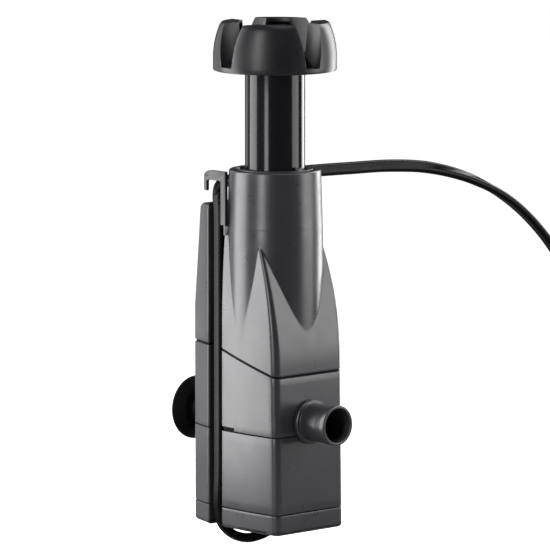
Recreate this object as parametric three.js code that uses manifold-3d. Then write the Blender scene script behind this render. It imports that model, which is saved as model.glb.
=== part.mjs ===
// Internal surface-skimmer filter for an aquarium: a floating intake crown on a telescopic tube, over a
// housing with a foam cartridge, an impeller pump and a side outlet, held to the glass by a suction cup.
//
// Millimetres, +Z up. Each sub-part is designed on the tower's axis (X = Y = 0) with its foot at Z = 0,
// the outlet towards -Y and the glass towards +Y. The root group then moves the whole filter so that its
// origin is the centre of the suction cup's rim, where it meets the glass.

import * as THREE from 'three';
import { mergeVertices } from 'three/addons/utils/BufferGeometryUtils.js';
import Module from 'manifold-3d';

const wasm = await Module();
wasm.setup();

// ---------------------------------------------------------------- driving dimensions

const GAP = 0.3;
const ROUND = 32;

const BODY = {
  sideX: 18.4,
  bow: 0.8,
  frontAtFoot: -21,
  frontAtSeam: -20.1,
  cornerRadius: 3.3,
  rearY: 19.6,
  rearX: 18.2,
};
const SPINE = { backY: 33.1, backX: 13.6, topBackY: 27.5, leanFrom: 80, topZ: 129, edgeRadius: 1.6 };
const CHANNEL = { floorX: -12.5, frontY: 11.8, topZ: 125 };
const CAVITY = { halfX: 16.2, frontY: -18.3, rearY: 10, radius: 3 };

const BASE = { top: 7.4, plate: 1.8 };
const LOWER = { bottom: 7.8, top: 38.6, floor: 10 };
const MID = { bottom: 39 };
const SLOT = { length: 8.2, height: 1.2, depth: 1.4 };
const SEAM = { frontZ: 62.8, channelZ: 71.5, spineZ: 72.6, groove: 0.9 };
const SPINE_POCKET = { halfX: 10.5, frontY: 21.6, rearY: 30.9, upperRearY: 25.4, topZ: 112 };

const TOWER = { footRadius: 19.3, topRadius: 18.4, topZ: 143.6, boreRadius: 15.5, ledgeZ: 121 };
const LEAN = [
  { z: 58, front: -20.2, cornerX: 18.4, radius: 3.3 },
  { z: 70, front: -19.9, cornerX: 18.4, radius: 3.3 },
  { z: 81, front: -18.9, cornerX: 18.4, radius: 3.1 },
  { z: 89, front: -17.5, cornerX: 18.35, radius: 2.9 },
  { z: 96, front: -15.7, cornerX: 18.25, radius: 2.6 },
  { z: 105, front: -12.9, cornerX: 17.9, radius: 2.2 },
  { z: 114, front: -9.7, cornerX: 17.1, radius: 1.6 },
  { z: 121, front: -7, cornerX: 16.2, radius: 1.2 },
];

const HOOK = { x0: -18.6, x1: -16.6, legFront: 11.4, legBack: 13.2, tipFront: 20, tipBack: 21.8 };
const HOOK_Z = { top: 143, underside: 139, tip: 134.6, peg: 117.4 };
const PEG = { frontY: 9.3, rearGap: 0.8, footThickness: 1.4 };

const GUIDE = { outer: 15.2, inner: 12.35, bottom: 137.5, top: 143.9, lug: 1.1 };
const TUBE = { outer: 12, inner: 10.8, bottom: 130, top: 188, stopRadius: 14, stopHeight: 2, lip: 1.2 };
const CROWN = {
  bottom: 184.2, top: 202.5, radius: 24.9, bore: 14.7, floor: 186.5, curveFrom: 191, curve: 0.0214,
  wall: 1.6, roof: 1.3, sideWall: 1, slotFoot: 3.3, slotTop: 6, slotAngle: 5,
};
const FLOAT = { bottom: 186.9, top: 192.5 };

const PUMP = { z: 44, voluteInner: 11.3, voluteOuter: 12.8, bottom: 38.9, top: 49.2 };
const COVER = { bottom: 49.5, top: 51.7, hub: 3.6, inlet: 8, spokes: 3, spokeWidth: 1.6 };
const ROTOR = { shaft: 1, bore: 1.3, magnet: 5.6, well: 6.2, impeller: 10, blades: 6, bladeThickness: 1.1 };
const ROTOR_Z = { shaftFoot: 15, shaftTop: 50.6, magnetFoot: 16.8, magnetTop: 39.5, disk: 39.9 };
const BEARING = { radius: 2.8, lower: [13.9, 16.4], upper: [49.3, 51.9] };
const MOTOR = { bottom: 10.3, top: 31.5, wellFloor: 13.6, sealTop: 33.2, inset: 0.5, sealWidth: 1.9 };
const FOAM = { outer: 15, inner: 5, bottom: 55.6, top: 90 };
const CORE = { outer: 4.6, inner: 3.4, flange: 9.4, bottom: 52.2, top: 91.4, slits: 6, slitWidth: 1.8 };

const NOZZLE = { tipY: -36.7, innerY: -13.2, tipOuter: 8.15, rootOuter: 7.6, bore: 6.8, lipLength: 2.4 };
const NOZZLE_COLLAR = { radius: 9, thickness: 1.8, hole: 7.95 };
const CUP = { rimY: 47.6, z: 42.2, radius: 12.4, neck: 4.6, frontY: 37.2, edge: 0.9 };
const STUD = { radius: 2.8, innerY: 29.4, flange: 4.2, collar: 5.4, neck: 3, head: 4.4, holeRadius: 3.1 };
const OUTLET_SEAL = { inner: 7.9, outer: 9.5, y: [-17.9, -16.3], retainer: 10.4, retainerY: [-16, -14.6] };

const CORD = { radius: 1.8, steps: 78, tailSteps: 6, sides: 8, hole: 3 };
const GLAND = { start: [10.4, -10.4, 5.9], exit: [6.5, -6.5, 3.2], wide: 4, narrow: 2.9 };
const LEAD_ROUTE = [
  [6.3, -6.3, 3], [3, -3, 0.7], [-0.7, 0.7, -2], [-4.2, 4.2, -4.3], [-8, 8, -5.5], [-11.9, 11.9, -4.2],
  [-14.9, 14.8, -0.4], [-15.9, 15.8, 5.2], [-15.8, 15.7, 24], [-15.8, 15.7, 60], [-15.8, 15.7, 95],
  [-15.8, 15.7, 118], [-15.6, 16, 126], [-14.2, 18, 132.4], [-10.6, 20.6, 136], [-5, 22.2, 137.3],
  [3, 22.8, 137.6], [22, 22.7, 137.6], [42, 22.5, 137.5], [63, 22.2, 137], [85, 21.7, 136.3],
  [106, 20, 134], [127, 17, 128], [147, 14, 117.5], [165, 12, 102], [180, 11, 83], [192, 11, 61],
  [201, 11, 39], [207, 10, 20], [211, 8.5, 7],
];
const COIL = { x: 188, y: -20, inner: 19.3, outer: 34, bottom: -7.3, top: 3.6, startAngle: 20.5 };
const TAIL_LOCAL = [
  [-32, 4, 5.9], [-30.6, 9.6, 6.2], [-26.6, 14, 7.4], [-20.6, 16, 9.2], [-17, 16.2, 10.1],
];
const PLUG = {
  rear: -16.6, reliefLength: 9, length: 27, halfWidth: 12.5, height: 12, offset: 16.2, z: 10.1,
};
const PIN = { radius: 2, length: 18, spacing: 18.6 };
const TIE = { angle: 200, width: 4, thickness: 0.8 };

const ORIGIN = new THREE.Vector3(0, CUP.rimY, CUP.z);

// ---------------------------------------------------------------- materials

const finish = (color, roughness, metalness = 0) =>
  new THREE.MeshStandardMaterial({ color, roughness, metalness });

const housingPlastic = finish(0x4b4c50, 0.5);
const darkPlastic = finish(0x2b2b2f, 0.45);
const glossyBlack = finish(0x141417, 0.18);
const blackRubber = finish(0x0c0c0e, 0.6);
const cordSheath = finish(0x0e0e10, 0.5);
const foamBlue = finish(0x2c5d8f, 0.95);
const floatFoam = finish(0x3c3c3e, 0.9);
const palePlastic = finish(0xc9ccd0, 0.5);
const ferrite = finish(0x3a3a3d, 0.6, 0.2);
const steel = finish(0xb9bcc2, 0.3, 1);
const nickel = finish(0xc6c8cc, 0.25, 1);
const ceramic = finish(0xf1efe8, 0.35);
const resin = finish(0x20232a, 0.5);

// ---------------------------------------------------------------- solids

// A closed geometry with shared vertices and outward faces, ready for joining and cutting.
function toSolid(geometry) {
  const bare = geometry.clone();
  bare.deleteAttribute('normal');
  bare.deleteAttribute('uv');
  const merged = mergeVertices(bare, 1e-4);
  const position = merged.attributes.position;
  const index = merged.index.array;
  const kept = [];
  let volume = 0;
  const a = new THREE.Vector3();
  const b = new THREE.Vector3();
  const c = new THREE.Vector3();
  for (let i = 0; i < index.length; i += 3) {
    const [p, q, r] = [index[i], index[i + 1], index[i + 2]];
    if (p === q || q === r || r === p) continue;
    kept.push(p, q, r);
    a.fromBufferAttribute(position, p);
    b.fromBufferAttribute(position, q);
    c.fromBufferAttribute(position, r);
    volume += a.dot(b.cross(c));
  }
  if (volume < 0) kept.reverse();
  const mesh = new wasm.Mesh({
    numProp: 3,
    vertProperties: new Float32Array(position.array),
    triVerts: new Uint32Array(kept),
  });
  return new wasm.Manifold(mesh);
}

function toGeometry(solid) {
  const mesh = solid.getMesh();
  const geometry = new THREE.BufferGeometry();
  geometry.setAttribute('position', new THREE.BufferAttribute(new Float32Array(mesh.vertProperties), 3));
  geometry.setIndex(new THREE.BufferAttribute(new Uint32Array(mesh.triVerts), 1));
  geometry.computeVertexNormals();
  return geometry;
}

// Turns a [radius, height] profile about Z. A profile off the axis is closed on itself.
function revolve(profile, segments = ROUND) {
  const points = profile.map(([radius, height]) => new THREE.Vector2(radius, height));
  const onAxis = profile[0][0] === 0 && profile.at(-1)[0] === 0;
  if (!onAxis) points.push(points[0].clone());
  return toSolid(new THREE.LatheGeometry(points, segments).rotateX(Math.PI / 2));
}

// The same about an axis along +Y: the profile's height runs along Y, and the axis is at height z.
function revolveAlongY(profile, z, segments = ROUND) {
  const turned = toGeometry(revolve(profile, segments)).rotateX(-Math.PI / 2);
  return toSolid(turned.translate(0, 0, z));
}

const rodAlongY = (radius, y0, y1, z) =>
  revolveAlongY([[0, y0], [radius, y0], [radius, y1], [0, y1]], z);

const ring = (inner, outer, bottom, top, segments = ROUND) =>
  revolve([[inner, bottom], [outer, bottom], [outer, top], [inner, top]], segments);

const disc = (radius, bottom, top, segments = ROUND) =>
  revolve([[0, bottom], [radius, bottom], [radius, top], [0, top]], segments);

function box(x0, x1, y0, y1, z0, z1) {
  const geometry = new THREE.BoxGeometry(x1 - x0, y1 - y0, z1 - z0);
  return toSolid(geometry.translate((x0 + x1) / 2, (y0 + y1) / 2, (z0 + z1) / 2));
}

function prism(points, bottom, top) {
  const shape = new THREE.Shape(points.map(([x, y]) => new THREE.Vector2(x, y)));
  const geometry = new THREE.ExtrudeGeometry(shape, { depth: top - bottom, bevelEnabled: false });
  return geometry.translate(0, 0, bottom);
}

// A [y, z] outline swept along X from x0 to x1.
function prismAlongX(points, x0, x1) {
  const turn = new THREE.Matrix4().set(0, 0, 1, 0, 1, 0, 0, 0, 0, 1, 0, 0, 0, 0, 0, 1);
  return toSolid(prism(points, x0, x1).applyMatrix4(turn));
}

// Joins outlines of equal point count, each { z, points }, into one closed body.
function loft(sections) {
  const count = sections[0].points.length;
  const positions = sections.flatMap(({ z, points }) => points.flatMap((p) => [p.x, p.y, z]));
  const faces = [];
  for (let level = 0; level < sections.length - 1; level += 1) {
    for (let i = 0; i < count; i += 1) {
      const next = (i + 1) % count;
      const low = level * count;
      const high = low + count;
      faces.push(low + i, low + next, high + next);
      faces.push(low + i, high + next, high + i);
    }
  }
  const top = (sections.length - 1) * count;
  for (const [p, q, r] of THREE.ShapeUtils.triangulateShape(sections[0].points, [])) {
    faces.push(r, q, p);
  }
  for (const [p, q, r] of THREE.ShapeUtils.triangulateShape(sections.at(-1).points, [])) {
    faces.push(top + p, top + q, top + r);
  }
  const geometry = new THREE.BufferGeometry();
  geometry.setAttribute('position', new THREE.Float32BufferAttribute(positions, 3));
  geometry.setIndex(faces);
  return toSolid(geometry);
}

const join = (solids) => solids.reduce((whole, solid) => whole.add(solid));
const cut = (solid, tools) => tools.reduce((rest, tool) => rest.subtract(tool), solid);

// ---------------------------------------------------------------- housing outlines

const frontFace = (z) =>
  BODY.frontAtFoot + ((BODY.frontAtSeam - BODY.frontAtFoot) * z) / SEAM.frontZ;

// Left side, rounded front corners and right side, from the rear left to the rear right.
function frontOutline(shape, { front, cornerX, radius, inset = 0 }) {
  const x = cornerX - inset;
  const y = front + inset;
  const sideX = BODY.sideX - inset;
  const r = Math.max(radius - inset / 2, 0.4);
  const middleY = (y + CHANNEL.frontY) / 2;
  const bowX = (x + sideX) / 2 + 2 * BODY.bow;
  shape.quadraticCurveTo(-bowX, middleY, -x, y + r);
  shape.absarc(-x + r, y + r, r, Math.PI, 1.5 * Math.PI, false);
  shape.lineTo(x - r, y);
  shape.absarc(x - r, y + r, r, 1.5 * Math.PI, 2 * Math.PI, false);
  shape.quadraticCurveTo(bowX, middleY, sideX, CHANNEL.frontY);
}

// The whole section: front box, cable channel on the left and tapered spine at the back.
function bodyOutline(z) {
  const shape = new THREE.Shape();
  const e = SPINE.edgeRadius;
  shape.moveTo(SPINE.backX - e, SPINE.backY);
  shape.lineTo(-SPINE.backX + e, SPINE.backY);
  shape.quadraticCurveTo(-SPINE.backX, SPINE.backY, -SPINE.backX - 0.5 * e, SPINE.backY - e);
  shape.lineTo(-BODY.rearX, BODY.rearY);
  shape.lineTo(CHANNEL.floorX, BODY.rearY);
  shape.lineTo(CHANNEL.floorX, CHANNEL.frontY);
  shape.lineTo(-BODY.sideX, CHANNEL.frontY);
  frontOutline(shape, { front: frontFace(z), cornerX: BODY.sideX, radius: BODY.cornerRadius });
  shape.lineTo(BODY.rearX, BODY.rearY);
  shape.lineTo(SPINE.backX + 0.5 * e, SPINE.backY - e);
  shape.quadraticCurveTo(SPINE.backX, SPINE.backY, SPINE.backX - e, SPINE.backY);
  return outlinePoints(shape);
}

// The leaning box of the upper housing, back to the rear of the channel.
function leanOutline({ front, cornerX, radius }) {
  const shape = new THREE.Shape();
  shape.moveTo(BODY.rearX, BODY.rearY);
  shape.lineTo(-BODY.rearX, BODY.rearY);
  shape.lineTo(-BODY.sideX, CHANNEL.frontY);
  frontOutline(shape, { front, cornerX, radius });
  return outlinePoints(shape);
}

// Without the repeated last point that a closed curve gives.
function outlinePoints(shape) {
  const points = shape.getPoints(6);
  if (points[0].distanceTo(points.at(-1)) < 1e-6) points.pop();
  return points.filter((p, i) => i === 0 || p.distanceTo(points[i - 1]) > 1e-6);
}

const bodyBlock = (bottom, top) =>
  loft([bottom, top].map((z) => ({ z, points: bodyOutline(z) })));

function roundedRectangle({ halfX, frontY, rearY, radius }, inset = 0) {
  const x = halfX - inset;
  const [y0, y1] = [frontY + inset, rearY - inset];
  const shape = new THREE.Shape();
  shape.absarc(x - radius, y1 - radius, radius, 0, 0.5 * Math.PI, false);
  shape.absarc(-x + radius, y1 - radius, radius, 0.5 * Math.PI, Math.PI, false);
  shape.absarc(-x + radius, y0 + radius, radius, Math.PI, 1.5 * Math.PI, false);
  shape.absarc(x - radius, y0 + radius, radius, 1.5 * Math.PI, 2 * Math.PI, false);
  return outlinePoints(shape);
}

const chamber = (inset, bottom, top) =>
  loft([bottom, top].map((z) => ({ z, points: roundedRectangle(CAVITY, inset) })));

// Everything above (up = true) or below the slanting seam, moved by an offset along Z.
function seamSide(up, offset) {
  const far = up ? 300 : -50;
  const edge = [[-60, SEAM.frontZ], [BODY.frontAtSeam, SEAM.frontZ], [CHANNEL.frontY, SEAM.channelZ]];
  edge.push([CHANNEL.frontY + 1, SEAM.spineZ], [60, SEAM.spineZ]);
  const outline = edge.map(([y, z]) => [y, z + offset]);
  outline.push([60, far], [-60, far]);
  return prismAlongX(outline, -60, 60);
}

// The hollow that the tapered spine holds, up to its rear wall.
const pocketInSpine = (rearY, bottom, top) =>
  box(-SPINE_POCKET.halfX, SPINE_POCKET.halfX, SPINE_POCKET.frontY, rearY, bottom, top);

const cordHole = () =>
  disc(CORD.hole, 0, 20, 24).translate([GLAND.start[0], GLAND.start[1], 0]);

// ---------------------------------------------------------------- housing parts

function upperHousing() {
  const seam = seamSide(true, SEAM.groove / 2);
  const cone = disc(TOWER.footRadius, 58, 117).add(
    revolve([[0, 110], [19.2, 110], [19.2, 117], [TOWER.topRadius, TOWER.topZ], [0, TOWER.topZ]]),
  );
  const lean = loft(LEAN.map((level) => ({ z: level.z, points: leanOutline(level) })));
  const backAt = (z) => {
    const share = Math.max(0, (z - SPINE.leanFrom) / (SPINE.topZ - SPINE.leanFrom));
    return SPINE.backY + (SPINE.topBackY - SPINE.backY) * share;
  };
  const spineLevel = (z, drawIn) => {
    const back = backAt(z) - drawIn;
    const slope = (BODY.rearX - SPINE.backX) / (SPINE.backY - BODY.rearY);
    const backX = BODY.rearX - slope * (back - BODY.rearY) - drawIn / 2;
    const sideX = BODY.rearX - drawIn / 2;
    const e = SPINE.edgeRadius;
    const outline = [[backX - e, back], [-backX + e, back], [-backX - 0.4 * e, back - e]];
    outline.push([-sideX, BODY.rearY], [-sideX + 1, 17], [sideX - 1, 17], [sideX, BODY.rearY]);
    outline.push([backX + 0.4 * e, back - e]);
    return { z, points: outline.map(([x, y]) => new THREE.Vector2(x, y)) };
  };
  const spine = loft([
    spineLevel(58, 0), spineLevel(SPINE.leanFrom, 0), spineLevel(SPINE.topZ - 2, 0),
    spineLevel(SPINE.topZ - 0.6, 0.5), spineLevel(SPINE.topZ, 1.6),
  ]);
  const channel = box(-30, CHANNEL.floorX, CHANNEL.frontY, BODY.rearY, 50, SPINE.topZ + 5);
  const bore = disc(TOWER.boreRadius, 50, TOWER.topZ + 5).add(chamber(0, 50, SEAM.spineZ + 4));
  const spinePocket = pocketInSpine(SPINE_POCKET.upperRearY, 50, SPINE_POCKET.topZ);
  const pegHole = box(HOOK.x0 + 0.8 - GAP, HOOK.x1 - 0.6 + GAP, PEG.frontY - GAP,
    CHANNEL.frontY - PEG.rearGap + GAP, HOOK_Z.peg - GAP, TOWER.ledgeZ + 4);
  const shoulders = cut(join([lean, spine]), [channel]);
  const channelFloor = box(-30, CHANNEL.floorX, CHANNEL.frontY, BODY.rearY, 50, CHANNEL.topZ);
  const tower = cut(cone, [channelFloor]);
  return cut(join([tower, shoulders]).intersect(seam), [bore, spinePocket, pegHole]);
}

function cableHook() {
  const { legFront, legBack, tipFront, tipBack } = HOOK;
  const foot = TOWER.ledgeZ + GAP;
  const outline = [
    [legFront, foot], [legBack, foot], [legBack, HOOK_Z.underside], [tipFront, HOOK_Z.underside],
    [tipFront, HOOK_Z.tip], [tipBack, HOOK_Z.tip], [tipBack, HOOK_Z.top - 1.2],
    [tipBack - 1.4, HOOK_Z.top - 0.4], [17, HOOK_Z.top], [legFront, HOOK_Z.top],
  ];
  const arm = prismAlongX(outline, HOOK.x0, HOOK.x1);
  const foundation = box(HOOK.x0, HOOK.x1, PEG.frontY, legFront + 0.5, foot, foot + PEG.footThickness);
  const pegRear = CHANNEL.frontY - PEG.rearGap;
  const peg = box(HOOK.x0 + 0.8, HOOK.x1 - 0.6, PEG.frontY, pegRear, HOOK_Z.peg, foot + 0.5);
  return join([arm, foundation, peg]);
}

function guideRing() {
  const sleeve = ring(GUIDE.inner, GUIDE.outer, GUIDE.bottom, GUIDE.top);
  const lugs = [30, 150, 270].map((degrees) => {
    const lug = box(GUIDE.inner + 0.6, GUIDE.outer - 0.2, -1.5, 1.5, GUIDE.top - 1, GUIDE.top + GUIDE.lug);
    return lug.rotate([0, 0, degrees]);
  });
  return join([sleeve, ...lugs]);
}

// The filter chamber: the square chamber and the round foam bay in one.
const filterBay = (inset, bottom, top) =>
  chamber(inset, bottom, top).add(disc(TOWER.boreRadius - inset, bottom, top));

// A flat seal that follows the slanting seam between the two housings that it parts.
function seamGasket() {
  const half = SEAM.groove / 2 - GAP;
  const band = filterBay(-0.9, 50, 90).subtract(filterBay(0.1, 45, 95));
  return band.intersect(seamSide(true, -half)).intersect(seamSide(false, half));
}

function midHousing() {
  const block = bodyBlock(MID.bottom, 78).intersect(seamSide(false, -SEAM.groove / 2));
  const spinePocket = pocketInSpine(SPINE_POCKET.rearY, 30, 80);
  const outletHole = rodAlongY(NOZZLE_COLLAR.hole, -60, 0, PUMP.z);
  const studHole = rodAlongY(STUD.holeRadius, 29, 60, CUP.z);
  const sideX = BODY.sideX + BODY.bow;
  const slot = box(-sideX - 5, -BODY.sideX + SLOT.depth, CHANNEL.frontY - SLOT.length, CHANNEL.frontY + 1,
    30, MID.bottom + SLOT.height);
  return cut(block, [filterBay(0, 30, 80), spinePocket, outletHole, studHole, slot]);
}

function lowerHousing() {
  const block = bodyBlock(LOWER.bottom, LOWER.top);
  const spinePocket = pocketInSpine(SPINE_POCKET.rearY, LOWER.floor, 60);
  const outletHole = rodAlongY(NOZZLE_COLLAR.hole, -60, 0, PUMP.z);
  return cut(block, [chamber(0, LOWER.floor, 60), spinePocket, cordHole(), outletHole]);
}

function baseCap() {
  const block = bodyBlock(0, BASE.top);
  const under = BASE.top - BASE.plate;
  const hollow = chamber(0.3, -5, under);
  const spineHollow = pocketInSpine(SPINE_POCKET.rearY, -5, under);
  return cut(block, [hollow, spineHollow, cordHole()]);
}

function motorBlock() {
  const block = chamber(MOTOR.inset, MOTOR.bottom, MOTOR.top);
  return block.subtract(disc(ROTOR.well, MOTOR.wellFloor, 60));
}

const lowerSeal = () =>
  chamber(MOTOR.inset, MOTOR.top + GAP, MOTOR.sealTop).subtract(
    chamber(MOTOR.inset + MOTOR.sealWidth, 20, 60));

// ---------------------------------------------------------------- pump and cartridge

function voluteRing() {
  const wall = ring(PUMP.voluteInner, PUMP.voluteOuter, PUMP.bottom, PUMP.top);
  return wall.subtract(rodAlongY(6.2 - GAP, -30, 0, PUMP.z));
}

function impeller() {
  const { disk: foot } = ROTOR_Z;
  const disk = ring(ROTOR.bore, ROTOR.impeller, foot, foot + 1.2);
  const hub = ring(ROTOR.bore, 3, foot, foot + 8.5);
  const blades = Array.from({ length: ROTOR.blades }, (_, i) => {
    const half = ROTOR.bladeThickness / 2;
    const blade = box(2.4, ROTOR.impeller - 0.1, -half, half, foot + 0.6, foot + 7.7);
    return blade.rotate([0, 0, (360 / ROTOR.blades) * i]);
  });
  return join([disk, hub, ...blades]);
}

const rotorMagnet = () => ring(ROTOR.bore, ROTOR.magnet, ROTOR_Z.magnetFoot, ROTOR_Z.magnetTop);
const rotorShaft = () => disc(ROTOR.shaft, ROTOR_Z.shaftFoot, ROTOR_Z.shaftTop, 24);
const bearing = ([bottom, top]) => ring(ROTOR.bore, BEARING.radius, bottom, top);

function pumpCover() {
  const plate = filterBay(0.4, COVER.bottom, COVER.top).subtract(disc(BEARING.radius + GAP, 40, 60));
  let inlet = ring(COVER.hub + 0.9, COVER.inlet, 40, 60);
  for (let i = 0; i < COVER.spokes; i += 1) {
    const half = COVER.spokeWidth / 2;
    inlet = inlet.subtract(box(0, 12, -half, half, 39, 61).rotate([0, 0, (360 / COVER.spokes) * i]));
  }
  const outletArch = rodAlongY(10.7, -30, -PUMP.voluteOuter - 0.1, PUMP.z);
  return cut(plate, [inlet, outletArch]);
}

const filterFoam = () => ring(FOAM.inner, FOAM.outer, FOAM.bottom, FOAM.top);

function foamCore() {
  let tube = ring(CORE.inner, CORE.outer, CORE.bottom, CORE.top, 36);
  tube = tube.add(ring(CORE.inner, CORE.flange, CORE.bottom, CORE.bottom + 1.2, 36));
  const half = CORE.slitWidth / 2;
  for (let i = 0; i < CORE.slits; i += 1) {
    const slit = box(0, 8, -half, half, CORE.bottom + 4, CORE.top - 3);
    tube = tube.subtract(slit.rotate([0, 0, (360 / CORE.slits) * i]));
  }
  return tube;
}

// ---------------------------------------------------------------- float

function intakeTube() {
  const { outer, inner, bottom, top, stopRadius, stopHeight, lip } = TUBE;
  return revolve([
    [inner, bottom], [stopRadius, bottom], [stopRadius, bottom + stopHeight],
    [outer, bottom + stopHeight], [outer, top - lip], [CROWN.bore - 0.5, top - lip],
    [CROWN.bore - 0.5, top], [inner, top],
  ]);
}

const crownRadius = (z) =>
  CROWN.radius - CROWN.curve * Math.max(0, z - CROWN.curveFrom) ** 2;

// Bars through the axis, wider at the top, that part the lobes; extra widens them on both sides.
function crownSlots(extra, floor) {
  const foot = CROWN.slotFoot + extra;
  const top = CROWN.slotTop + extra;
  const rise = (CROWN.slotTop - CROWN.slotFoot) / (CROWN.top - CROWN.floor);
  const over = 1;
  const wide = top + rise * over;
  const outline = [[-foot, floor], [foot, floor], [wide, CROWN.top + over], [-wide, CROWN.top + over]];
  const bar = prismAlongX(outline, -40, 40);
  return [0, 90].map((turn) => bar.rotate([0, 0, 90 - CROWN.slotAngle + turn]));
}

function floatCrown() {
  const { bottom, top, radius, bore, floor, wall, roof } = CROWN;
  const levels = [192, 194.5, 197, 199, 200.6, 201.8];
  const body = revolve([
    [TUBE.outer + GAP, bottom], [radius - 0.6, bottom], [radius, bottom + 0.6],
    ...levels.map((z) => [crownRadius(z), z]),
    [crownRadius(top) - 0.7, top], [bore, top], [bore, floor], [TUBE.outer + GAP, floor],
  ]);
  const inside = revolve([
    [bore - 2, floor], ...[floor, 192, 197, top - roof].map((z) => [crownRadius(z) - wall, z]),
    [bore - 2, top - roof],
  ]);
  const cavities = cut(inside, [...crownSlots(CROWN.sideWall, floor - 1), disc(bore - 0.5, 180, 210)]);
  return cut(body, [...crownSlots(0, floor), cavities]);
}

const lockRing = () => ring(TUBE.outer + 0.4, CROWN.bore - 0.4, TUBE.top + GAP, TUBE.top + 1.7);

function floatInsert(lobe) {
  const profile = [FLOAT.bottom, FLOAT.top].map((z) => [crownRadius(z) - CROWN.wall - GAP, z]);
  const band = revolve([[CROWN.bore + 1.2, FLOAT.bottom], ...profile, [CROWN.bore + 1.2, FLOAT.top]]);
  const between = cut(band, crownSlots(CROWN.sideWall + GAP, CROWN.floor - 1));
  const half = box(0, 60, -60, 60, 100, 300).intersect(box(-60, 60, 0, 60, 100, 300));
  return between.intersect(half.rotate([0, 0, 90 * lobe - CROWN.slotAngle]));
}

// ---------------------------------------------------------------- outlet and suction cup

function outletNozzle() {
  const { tipY, innerY, tipOuter, rootOuter, bore, lipLength } = NOZZLE;
  const wallY = frontFace(PUMP.z) - GAP;
  const collarY = wallY - NOZZLE_COLLAR.thickness;
  return revolveAlongY([
    [bore, tipY], [tipOuter, tipY], [tipOuter, tipY + lipLength], [rootOuter + 0.2, tipY + 4.4],
    [rootOuter, collarY], [NOZZLE_COLLAR.radius, collarY + 0.5], [NOZZLE_COLLAR.radius, wallY],
    [rootOuter, wallY], [rootOuter, innerY], [bore - 0.6, innerY], [bore - 0.6, collarY],
  ], PUMP.z);
}

const ringAlongY = (inner, outer, [y0, y1], z) =>
  revolveAlongY([[inner, y0], [outer, y0], [outer, y1], [inner, y1]], z);

const nozzleSeal = () =>
  ringAlongY(OUTLET_SEAL.inner, OUTLET_SEAL.outer, OUTLET_SEAL.y, PUMP.z);

const sealRetainer = () =>
  ringAlongY(OUTLET_SEAL.inner, OUTLET_SEAL.retainer, OUTLET_SEAL.retainerY, PUMP.z);

function suctionCup() {
  const { rimY, z, radius, neck, frontY, edge } = CUP;
  return revolveAlongY([
    [STUD.head + GAP, frontY + 2.2], [neck + 0.9, frontY + 2.2], [neck + 1.6, frontY + 4], [8.6, 43.4],
    [11.2, 45.8], [radius, rimY - edge], [radius, rimY], [radius - 1.5, rimY], [9.6, 45.4],
    [6.4, 44.1], [0, 43.6], [0, 42.2], [STUD.head + GAP, 42.2],
  ], z);
}

function suctionStud() {
  const { innerY, flange, radius, collar, neck, head } = STUD;
  return revolveAlongY([
    [0, innerY], [flange, innerY], [flange, innerY + 1.2], [radius, innerY + 1.2],
    [radius, SPINE.backY + GAP], [collar, SPINE.backY + GAP], [collar, 36.4], [neck, 37], [neck, 39],
    [head, 39.4], [head, 41.4], [0, 41.8],
  ], CUP.z);
}

// ---------------------------------------------------------------- mains lead

function cableGland() {
  const start = new THREE.Vector3(...GLAND.start);
  const exit = new THREE.Vector3(...GLAND.exit);
  const along = exit.clone().sub(start);
  const length = along.length();
  const turn = new THREE.Quaternion().setFromUnitVectors(new THREE.Vector3(0, 0, 1), along.normalize());
  const cone = revolve([[0, -3], [GLAND.wide, -3], [GLAND.narrow, length], [0, length]], 24);
  const placed = toGeometry(cone).applyQuaternion(turn).translate(...GLAND.start);
  return toSolid(placed).intersect(box(-30, 30, -30, 30, -10, BASE.top - BASE.plate - GAP));
}

function cordTube(route, steps) {
  const points = route.map((p) => new THREE.Vector3(...p));
  const path = new THREE.CatmullRomCurve3(points, false, 'centripetal');
  const section = new THREE.Shape();
  section.absarc(0, 0, CORD.radius, 0, 2 * Math.PI, false);
  const outline = new THREE.Shape(section.getSpacedPoints(CORD.sides).slice(0, CORD.sides));
  return toSolid(new THREE.ExtrudeGeometry(outline, { steps, extrudePath: path, bevelEnabled: false }));
}

// The coil's own frame: x along the plug, y outwards, turned so that the last turn ends at its start.
const [tailX, tailY] = TAIL_LOCAL[0];
const COIL_TURN = COIL.startAngle - THREE.MathUtils.radToDeg(Math.atan2(tailY, tailX));
const onCoil = (solid) => solid.rotate([0, 0, COIL_TURN]).translate([COIL.x, COIL.y, 0]);

function onCoilPoint([x, y, z]) {
  const turned = new THREE.Vector3(x, y, z).applyAxisAngle(
    new THREE.Vector3(0, 0, 1), THREE.MathUtils.degToRad(COIL_TURN));
  return [turned.x + COIL.x, turned.y + COIL.y, turned.z];
}

const cordCoil = () => ring(COIL.inner, COIL.outer, COIL.bottom, COIL.top).translate([COIL.x, COIL.y, 0]);

function cordTie() {
  const { thickness, width, angle } = TIE;
  const [r0, r1] = [COIL.inner - GAP, COIL.outer + GAP];
  const [z0, z1] = [COIL.bottom - GAP, COIL.top + GAP];
  const outer = box(r0 - thickness, r1 + thickness, -width / 2, width / 2, z0 - thickness, z1 + thickness);
  const band = outer.subtract(box(r0, r1, -width, width, z0, z1));
  return band.rotate([0, 0, angle]).translate([COIL.x, COIL.y, 0]);
}

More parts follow.
